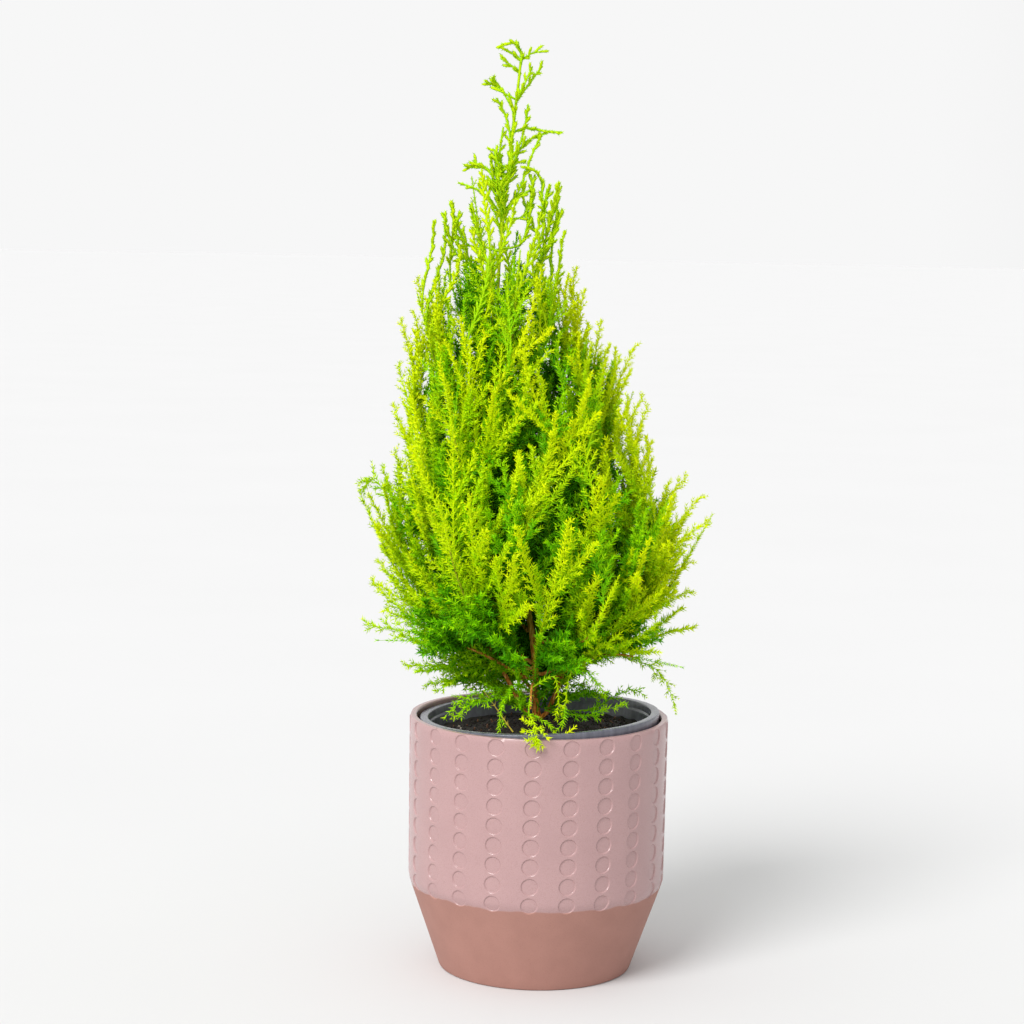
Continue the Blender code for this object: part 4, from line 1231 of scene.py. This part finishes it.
# a dry twig and a yellow leaf at the foot, as (right, back, up)
DRY_TWIG = (
    (-0.0153, -0.030, 0.1496), (-0.0214, -0.030, 0.1579), (-0.0281, -0.030, 0.1674),
    (-0.0336, -0.030, 0.1746),
)
YELLOW_LEAF = ((0.0152, -0.068, 0.1565), (0.0182, -0.068, 0.1585), (0.0213, -0.067, 0.1610))
# tips of single plumes in front of hollows, as (right, back, up)
HOLLOWS = (
    (-0.0305, -0.022, 0.388),
    (-0.0207, -0.030, 0.331),
    (0.0143, -0.032, 0.307),
    (-0.0050, -0.035, 0.278),
    (0.0339, -0.035, 0.245),
    (-0.0592, -0.010, 0.323),
)
# strands that hang down before the soil, as (right, back, up)
HANGING = (
    ((0.0076, -0.050, 0.1875), (0.0104, -0.050, 0.1812), (0.0114, -0.050, 0.1709), (0.0097, -0.050, 0.1622)),
    ((0.0185, -0.050, 0.1913), (0.0163, -0.050, 0.1830), (0.0157, -0.050, 0.1734), (0.0135, -0.050, 0.1646)),
    ((0.0010, -0.060, 0.1632), (0.0058, -0.060, 0.1605), (0.0098, -0.060, 0.1565)),
    ((0.0152, -0.050, 0.1690), (0.0150, -0.056, 0.1655), (0.0136, -0.060, 0.1610), (0.0105, -0.060, 0.1570)),
)
# low twigs that reach over the pot, as (right, back, up)
LOW_TWIGS = (
    (
        (0.010, 0.004, 0.170), (0.0213, 0.0, 0.1812), (0.0420, -0.004, 0.1925),
        (0.0636, -0.008, 0.1886), (0.0752, -0.010, 0.1802), (0.0821, -0.012, 0.1630),
    ),
    (
        (0.004, 0.004, 0.158), (0.0278, -0.010, 0.1590), (0.0397, -0.010, 0.1651),
        (0.0521, -0.010, 0.1727), (0.0615, -0.010, 0.1717),
    ),
    ((0.004, 0.000, 0.157), (0.0266, -0.030, 0.1602), (0.0363, -0.030, 0.1634), (0.0510, -0.030, 0.1680)),
    (
        (0.008, -0.005, 0.180), (0.0206, -0.035, 0.1926), (0.0272, -0.040, 0.1891),
        (0.0345, -0.040, 0.1815), (0.0394, -0.040, 0.1746),
    ),
    (
        (-0.004, -0.002, 0.168), (-0.0143, -0.040, 0.1806), (-0.0200, -0.055, 0.1745),
        (-0.0227, -0.060, 0.1656), (-0.0233, -0.060, 0.1547),
    ),
    (
        (-0.006, 0.000, 0.165), (-0.0235, -0.020, 0.1748), (-0.0413, -0.030, 0.1714),
        (-0.0495, -0.030, 0.1652), (-0.0563, -0.030, 0.1577),
    ),
    (
        (-0.005, -0.004, 0.160), (-0.0203, -0.025, 0.1698), (-0.0351, -0.035, 0.1682),
        (-0.0440, -0.035, 0.1644), (-0.0492, -0.035, 0.1589),
    ),
    (
        (-0.006, -0.010, 0.156), (-0.0104, -0.026, 0.1619), (-0.0124, -0.030, 0.1751),
        (-0.0153, -0.030, 0.1992), (-0.0186, -0.030, 0.2285),
    ),
    ((-0.030, 0.0, 0.192), (-0.060, -0.006, 0.2020), (-0.085, -0.008, 0.2060), (-0.106, -0.010, 0.2092)),
    (
        (-0.050, 0.0, 0.255), (-0.080, 0.0, 0.2780), (-0.098, 0.0, 0.2920),
        (-0.104, 0.0, 0.2960), (-0.1095, 0.0, 0.2880),
    ),
)
# the strongest of them
FULL_LOW_TWIGS = (0, 8, 9)


def joined(line):
    """A measured line of points, led back to the nearest place on a limb just below its foot."""
    foot = np.array(line[0]) - (0.0, 0.0, 0.003)
    nearest = Vector(places[int(np.argmin(np.linalg.norm(places - foot, axis=1)))])
    if (nearest - line[0]).length > 0.001:
        line = [nearest, *line]
    return line


def low_arch(foot, tip, rise, count):
    """A low shoot's path, arched a little over the soil."""
    near, far = foot.lerp(tip, 0.3), foot.lerp(tip, 0.7)
    return bezier(foot, near + Vector((0, 0, rise)), far + Vector((0, 0, 0.008)), tip, count)


def somewhere(rng, spans):
    return Vector([rng.uniform(*span) for span in spans])


high_trunk = [p for p in trunk if p.z > FIRST_BEARING]
leader_path = [*leader, LEADER_END]
bough_paths = [smooth_path(path, 30) for path, _ in limbs]
bearing = [(path, 0.24) for path in bough_paths] + [(high_trunk, 0.0), (leader_path, 0.0)]
places, headings = limb_places(bearing)
rng = random.Random(41)

# branches from the boughs, which bear plumes too
branch_tips = even_tips(BRANCH_TIPS, *BRANCH_HEIGHTS, BRANCH_DEPTH, rng)
branches = [plume_to(tip, BRANCH_LENGTH, rng) for tip in branch_tips]
for path in branches:
    keep_shoot(path, 2.2, 1.4, BRANCH_RADIUS)
    add_sides(path, 0.7, rng, 0.3, 2.4)
more_places, more_headings = limb_places([(path, 0.2) for path in branches])
places, headings = np.concatenate((places, more_places)), np.concatenate((headings, more_headings))

# plumes in layers, from the outline inwards
for count, low, high, depth, length, size, light in PLUME_LAYERS:
    for tip in even_tips(count, low, high, depth, rng):
        share = look_up(SIZE_AT_HEIGHT, tip.z)
        add_plume(tip, length * share, size * share, light, rng)

# open twigs low on the crown, at the trunk's foot and on its left stem
for tip in even_tips(LOW_TIPS, *LOW_HEIGHTS, LOW_DEPTH, rng):
    path = plume_to(tip, LOW_LENGTH, rng)
    if all(over_the_pot(p) and shows_trunk(p) and shows_sky(p) for p in path[1:]):
        light = 1.9 + 2.0 * max(0.0, -tip.y / 0.09) + rng.uniform(-0.5, 0.7)
        add_twig(path, light, rng, 0.2, 1.15)
for k in range(FOOT_SHOOTS):
    turn = -math.pi / 2 + (k / (FOOT_SHOOTS - 1) - 0.5) * math.pi * 1.6
    side, back = math.cos(turn), math.sin(turn)
    out = rng.uniform(*FOOT_REACHES)
    foot = Vector((FOOT_PLACE[0] + FOOT_ROUND * side, FOOT_PLACE[1] + FOOT_ROUND * back, FOOT_PLACE[2]))
    tip = Vector((out * side * 1.2, 0.002 + out * back, rng.uniform(*FOOT_HEIGHTS)))
    path = low_arch(foot, tip, 0.006, 6)
    if all(shows_trunk(p) for p in path[2:]):
        add_twig(path, rng.uniform(0.4, 2.2), rng, 0.3, 0.6)
for k in range(LEFT_SHOOTS):
    foot = smooth_path(FOOT_STEMS[0], 20)[4 + k % 12]
    path = low_arch(foot, somewhere(rng, LEFT_PLACES), 0.007, 8)
    if all(over_the_pot(p) and shows_trunk(p) for p in path[2:]):
        add_twig(path, rng.uniform(1.2, 2.6), rng, 0.2, 0.8)

# short plumes where the crown is bare, and low at its back
for _ in range(FILL_ROUNDS):
    fill_gaps(rng)
for k in range(BACK_TIPS):
    tip = somewhere(rng, BACK_PLACES)
    if k % 3 == 0:
        tip = somewhere(rng, BACK_LOW_PLACES)
    add_plume(tip, FILL_LENGTH, 0.8, 1.7, rng)

# the plumes of the outline, and the boughs' own ends
for tips, rises in ((LEFT_TIPS, RISE_AT_TIP), (RIGHT_TIPS, RISE_AT_RIGHT)):
    for x, z in tips:
        share = look_up(EDGE_SIZE_AT_HEIGHT, z)
        tip = Vector((x, rng.uniform(-SIDE_SPREAD, SIDE_SPREAD), z))
        add_plume(tip, PLUME_LAYERS[0][4] * share, share, PLUME_LAYERS[0][6] + 0.2, rng, 0.1, rises)
for path, (_, size) in zip(bough_paths, limbs):
    if path[-1].z > 0.24:
        tail = part_of(path, 0.50, 1.0, 12)
        keep_shoot(tail, 3.2, 2.2, PLUME_RADIUS, 1.0, 4)
        add_sides(tail, size, rng, 0.1, 4.0)
    elif path[-1].y < -0.06 and path[-1].z < 0.16:
        front_bough = path
        keep_shoot(part_of(path, 0.1, 0.90, 8), 1.9, 1.0, SIDE_RADIUS, 0.4, 3)
    else:
        in_front = abs(path[-1].x) < 0.02 and path[-1].y < 0.0
        add_twig(part_of(path, 0.75 if in_front else 0.06, 1.0, 14), 2.0, rng, 0.05, 1.1)

# the leader's sprays, the sprig over the rim and the leader's shoots to the front and back
for spray in LEADER_SPRAYS:
    line = [Vector((x, rng.uniform(-0.003, 0.003), z)) for x, z in spray]
    add_clubs(smooth_path(joined(line), 9), rng)
for k, strand in enumerate(FRONT_SPRIG):
    line = [Vector((x, FRONT_PLACE, z)) for x, z in strand]
    if k == 0:
        over_rim = line[0] + Vector((-0.001, 0.010, 0.001))
        stem = smooth_path([along_path(front_bough, 0.70)[0], over_rim, line[0]], 8)
        keep_shoot(stem, 3.0, 1.0, PLUME_RADIUS, 0.5, 2)
    add_twig(smooth_path(line, 6), 4.3, rng, 0.1, 0.28, 0.9)
for k in range(LEADER_SHOOTS):
    root, onward = along_path([*high_trunk[-16:], *leader_path], 0.05 + 0.40 * k / LEADER_SHOOTS)
    turn = math.pi / 2 * (1 if k % 2 else -1) + rng.uniform(-0.8, 0.8)
    lean = math.radians(rng.uniform(12, 30))
    off = Vector((math.cos(turn) * math.sin(lean), math.sin(turn) * math.sin(lean), math.cos(lean)))
    path = arching(root, off, rng.uniform(*LEADER_SHOOT_LENGTHS), UPWARD, 6)
    if inside_crown(path[-1]):
        add_clubs(path, rng)

# the low twigs and hanging strands, the dry ones, the leader's stem and the hollows' plumes
for k, twig in enumerate(LOW_TWIGS):
    if k in FULL_LOW_TWIGS:
        add_twig(smooth_path(twig, 14), 3.0, rng)
    else:
        add_twig(smooth_path(twig, 14), 1.8, rng, 0.25, 0.7, 0.7)
for k, line in enumerate(HANGING):
    line = [Vector(p) for p in line]
    path = smooth_path(joined(line) if k < 3 else line, 12)
    add_twig(path, 3.2 if k < 2 else 2.4, rng, 0.4, 0.28, 0.8)
keep_shoot(smooth_path(YELLOW_LEAF, 4), STRAW - 0.5, 0.0, PLUME_RADIUS, 1.0, 1)
keep_shoot(smooth_path(DRY_TWIG, 8), STRAW + 3.0, 0.0, PLUME_RADIUS, 0.2, 2)
keep_shoot(leader_path, 3.6, 1.0, LEADER_RADIUS, 0.5, 4)
for tip in HOLLOWS:
    add_plume(Vector(tip), FILL_LENGTH, 0.8, 1.6, rng, 0.1, RISE_AT_TIP)
add_clubs(part_of(leader_path, 0.0, 0.5, 6), rng)


def run_mesh(name, runs, *labels):
    """Shoots as strings of edges, with a size under each label at each point."""
    points, edges = [], []
    for path, *_ in runs:
        edges += [(len(points) + i, len(points) + i + 1) for i in range(len(path) - 1)]
        points += [tuple(p) for p in path]
    mesh = bpy.data.meshes.new(name)
    mesh.from_pydata(points, edges, [])
    for n, label in enumerate(labels):
        values = [value for run in runs for value in run[n + 1]]
        mesh.attributes.new(label, "FLOAT", "POINT").data.foreach_set("value", values)
    return mesh


def stored(node, label):
    """What run_mesh left at each point under a label."""
    return node("GeometryNodeInputNamedAttribute", {"Name": label}, data_type="FLOAT")[0]


def needle_coat_tree():
    """Pairs of slim needles along each shoot, each pair about a quarter turn on from the last."""
    sizes = [(label, "Float") for label in ("Step", "Length", "Width", "Lean")]
    tree, given, node = new_tree("needle_coat", *sizes, ("Seed", "Int"))
    curve = node("GeometryNodeMeshToCurve", {"Mesh": given["Geometry"]})[0]
    curve = node("GeometryNodeResampleCurve", {"Curve": curve, "Length": given["Step"]}, mode="LENGTH")[0]

    # the shoot's heading is up, and its side lies along the crown's surface
    tangent = node("GeometryNodeInputTangent")[0]
    place = node("GeometryNodeInputPosition")[0]
    from_middle = {0: place, 1: (1.0, 1.0, 0.0), 2: (0.015, 0.0, 0.0)}
    outward = node("ShaderNodeVectorMath", from_middle, operation="MULTIPLY_ADD")[0]
    across = node("ShaderNodeVectorMath", {0: tangent, 1: outward}, operation="CROSS_PRODUCT")[0]
    align = "FunctionNodeAlignRotationToVector"
    facing = node(align, {"Vector": tangent}, axis="Z")[0]
    facing = node(align, {"Rotation": facing, "Vector": across}, axis="X", pivot_axis="Z")[0]
    odd = maths(node, "MODULO", node("GeometryNodeInputIndex")[0], 2.0)
    turn = maths(node, "MULTIPLY_ADD", odd, math.pi / 2, chance(node, -1.0, -0.6, given["Seed"]))
    spin = node("FunctionNodeAxisAngleToRotation", {"Axis": (0.0, 0.0, 1.0), "Angle": turn})[0]
    turned_on = {"Rotation": facing, "Rotate By": spin}
    facing = node("FunctionNodeRotateRotation", turned_on, rotation_space="LOCAL")[0]

    # a needle is two sides of a slender cone
    shape = {"Vertices": 3, "Radius Top": 0.0, "Radius Bottom": given["Width"], "Depth": given["Length"]}
    needle = node("GeometryNodeMeshCone", shape, fill_type="NONE")[0]
    first_face = maths(node, "LESS_THAN", node("GeometryNodeInputIndex")[0], 0.5)
    opened = {"Geometry": needle, "Selection": first_face}
    needle = node("GeometryNodeDeleteGeometry", opened, domain="FACE")[0]
    pair = []
    for side in (1.0, -1.0):
        lean = maths(node, "MULTIPLY", given["Lean"], side)
        tilt = node("FunctionNodeAxisAngleToRotation", {"Axis": (0.0, 1.0, 0.0), "Angle": lean})[0]
        pair.append(node("GeometryNodeTransform", {"Geometry": needle, "Rotation": tilt})[0])
    both = node("GeometryNodeJoinGeometry", {"Geometry": pair})[0]

    growth = chance(node, 0.82, 1.15, given["Seed"])
    wide = maths(node, "MULTIPLY", growth, stored(node, "spread"))
    long = maths(node, "MULTIPLY", stored(node, "needle"), growth)
    scale = node("ShaderNodeCombineXYZ", {0: wide, 1: growth, 2: long})[0]
    kept = maths(node, "LESS_THAN", chance(node, 0.0, 1.0, given["Seed"]), stored(node, "dense"))
    put = {"Points": curve, "Selection": kept, "Instance": both, "Rotation": facing, "Scale": scale}
    end_tree(node, node("GeometryNodeInstanceOnPoints", put)[0], given["Material"])
    return tree


def twig_skin_tree():
    """A three-sided skin round each shoot."""
    tree, given, node = new_tree("twig_skin")
    curve = node("GeometryNodeMeshToCurve", {"Mesh": given["Geometry"]})[0]
    ring = node("GeometryNodeCurvePrimitiveCircle", {"Resolution": 3, "Radius": 1.0})[0]
    skin = {"Curve": curve, "Profile Curve": ring, "Scale": stored(node, "thick")}
    end_tree(node, node("GeometryNodeCurveToMesh", skin)[0], given["Material"])
    return tree


def foliage_material(name, colour, roughness):
    material, _, shader, _ = new_material(name)
    shader.inputs["Base Color"].default_value = colour
    shader.inputs["Roughness"].default_value = roughness
    shader.inputs["Specular IOR Level"].default_value = 0.08
    return material


needle_coat, twig_skin = needle_coat_tree(), twig_skin_tree()
masses = [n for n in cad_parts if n.startswith("foliage_")]
for tone, ((label, colour), needles, twigs) in enumerate(zip(TONES, needle_runs, twig_runs)):
    coarse = DEEP_COARSE[min(tone, 2)]
    sizes = {"Step": NEEDLE_STEP * coarse, "Length": NEEDLE_LENGTH * coarse, "Width": NEEDLE_WIDTH * coarse}
    lines = run_mesh("needle_lines", needles, "needle", "spread", "dense")
    finish = foliage_material(f"{label}_needles", colour, 0.5)
    piece = grown(f"needles_{label}", lines, needle_coat, finish, Lean=NEEDLE_LEAN, Seed=tone, **sizes)
    settle(piece, "foliage", *masses)
    share = TWIG_BROWN_SHARE
    twig_colour = tuple((1 - share) * c + share * brown for c, brown in zip(colour, TWIG_BROWN))
    lines = run_mesh("twig_lines", twigs, "thick")
    finish = foliage_material(f"{label}_twigs", twig_colour, 0.6)
    piece = grown(f"twigs_{label}", lines, twig_skin, finish)
    settle(piece, "foliage", *masses)


# The studio is a plain pale floor under an even pale dome. A broad soft light stands at the
# left front, and the camera looks slightly down at the plant's front.
CAMERA_PLACE = Vector((0.0, -1.4808, 0.4461))
CAMERA_RIGHT = Vector((0.99970981, 0.01481785, 0.01899305))
CAMERA_UP = Vector((-0.02054047, 0.11242534, 0.99344785))
CAMERA_LENS = 86.97
CAMERA_SENSOR = 36.0
FLOOR_RADIUS = 40.0
FLOOR_SIDES = 96
DOME_LIGHT = 0.93
DOME_SHADE = 0.62
KEY_POWER = 2.4
KEY_SPREAD = math.radians(28)
KEY_RUN = (0.42, 0.62, -0.70)


def make_floor():
    material, tree, shader, node = new_material("pale_floor")
    greys = (0.3, linear(0.840, 0.840, 0.840)), (0.7, linear(0.845, 0.845, 0.845))
    tint = ramp(node, clouds(node, 3.0), *greys)
    tree.links.new(tint, shader.inputs["Base Color"])
    shader.inputs["Roughness"].default_value = 0.9
    shader.inputs["Specular IOR Level"].default_value = 0.1
    turns = [math.tau * k / FLOOR_SIDES for k in range(FLOOR_SIDES)]
    ring = [(FLOOR_RADIUS * math.cos(turn), FLOOR_RADIUS * math.sin(turn), 0.0) for turn in turns]
    floor = new_piece("floor", ring, [tuple(range(FLOOR_SIDES))], material, False)


def pale_dome():
    """An even dome, a little darker to the right, as beyond the edge of a broad window."""
    world = bpy.data.worlds.new("pale_dome")
    world.use_nodes = True
    node = linked_nodes(world.node_tree)
    direction = node("ShaderNodeTexCoord")["Generated"]
    rightward = node("ShaderNodeSeparateXYZ", {"Vector": direction})["X"]
    strength = spread(node, rightward, 0.15, 0.9, DOME_LIGHT, DOME_LIGHT * DOME_SHADE)
    background = world.node_tree.nodes["Background"].inputs
    world.node_tree.links.new(strength, background["Strength"])
    background["Color"].default_value = (1.0, 1.0, 1.0, 1.0)
    bpy.context.scene.world = world


def key_light():
    """The broad soft light, as a distant one, so that the whole floor is lit alike."""
    lamp = bpy.data.lights.new("key_light", "SUN")
    lamp.angle = KEY_SPREAD
    lamp.energy = KEY_POWER
    thing = bpy.data.objects.new("key_light", lamp)
    thing.rotation_euler = Vector(KEY_RUN).to_track_quat("-Z", "Y").to_euler()
    bpy.context.scene.collection.objects.link(thing)


make_floor()
pale_dome()
key_light()

view = bpy.data.cameras.new("view")
view.sensor_width = CAMERA_SENSOR
view.lens = CAMERA_LENS
camera = bpy.data.objects.new("camera", view)
axes = Matrix((CAMERA_RIGHT, CAMERA_UP, CAMERA_RIGHT.cross(CAMERA_UP))).transposed()
camera.matrix_world = Matrix.Translation(CAMERA_PLACE) @ axes.to_4x4()
bpy.context.scene.collection.objects.link(camera)
bpy.context.scene.camera = camera
bpy.context.scene.view_settings.view_transform = "Standard"
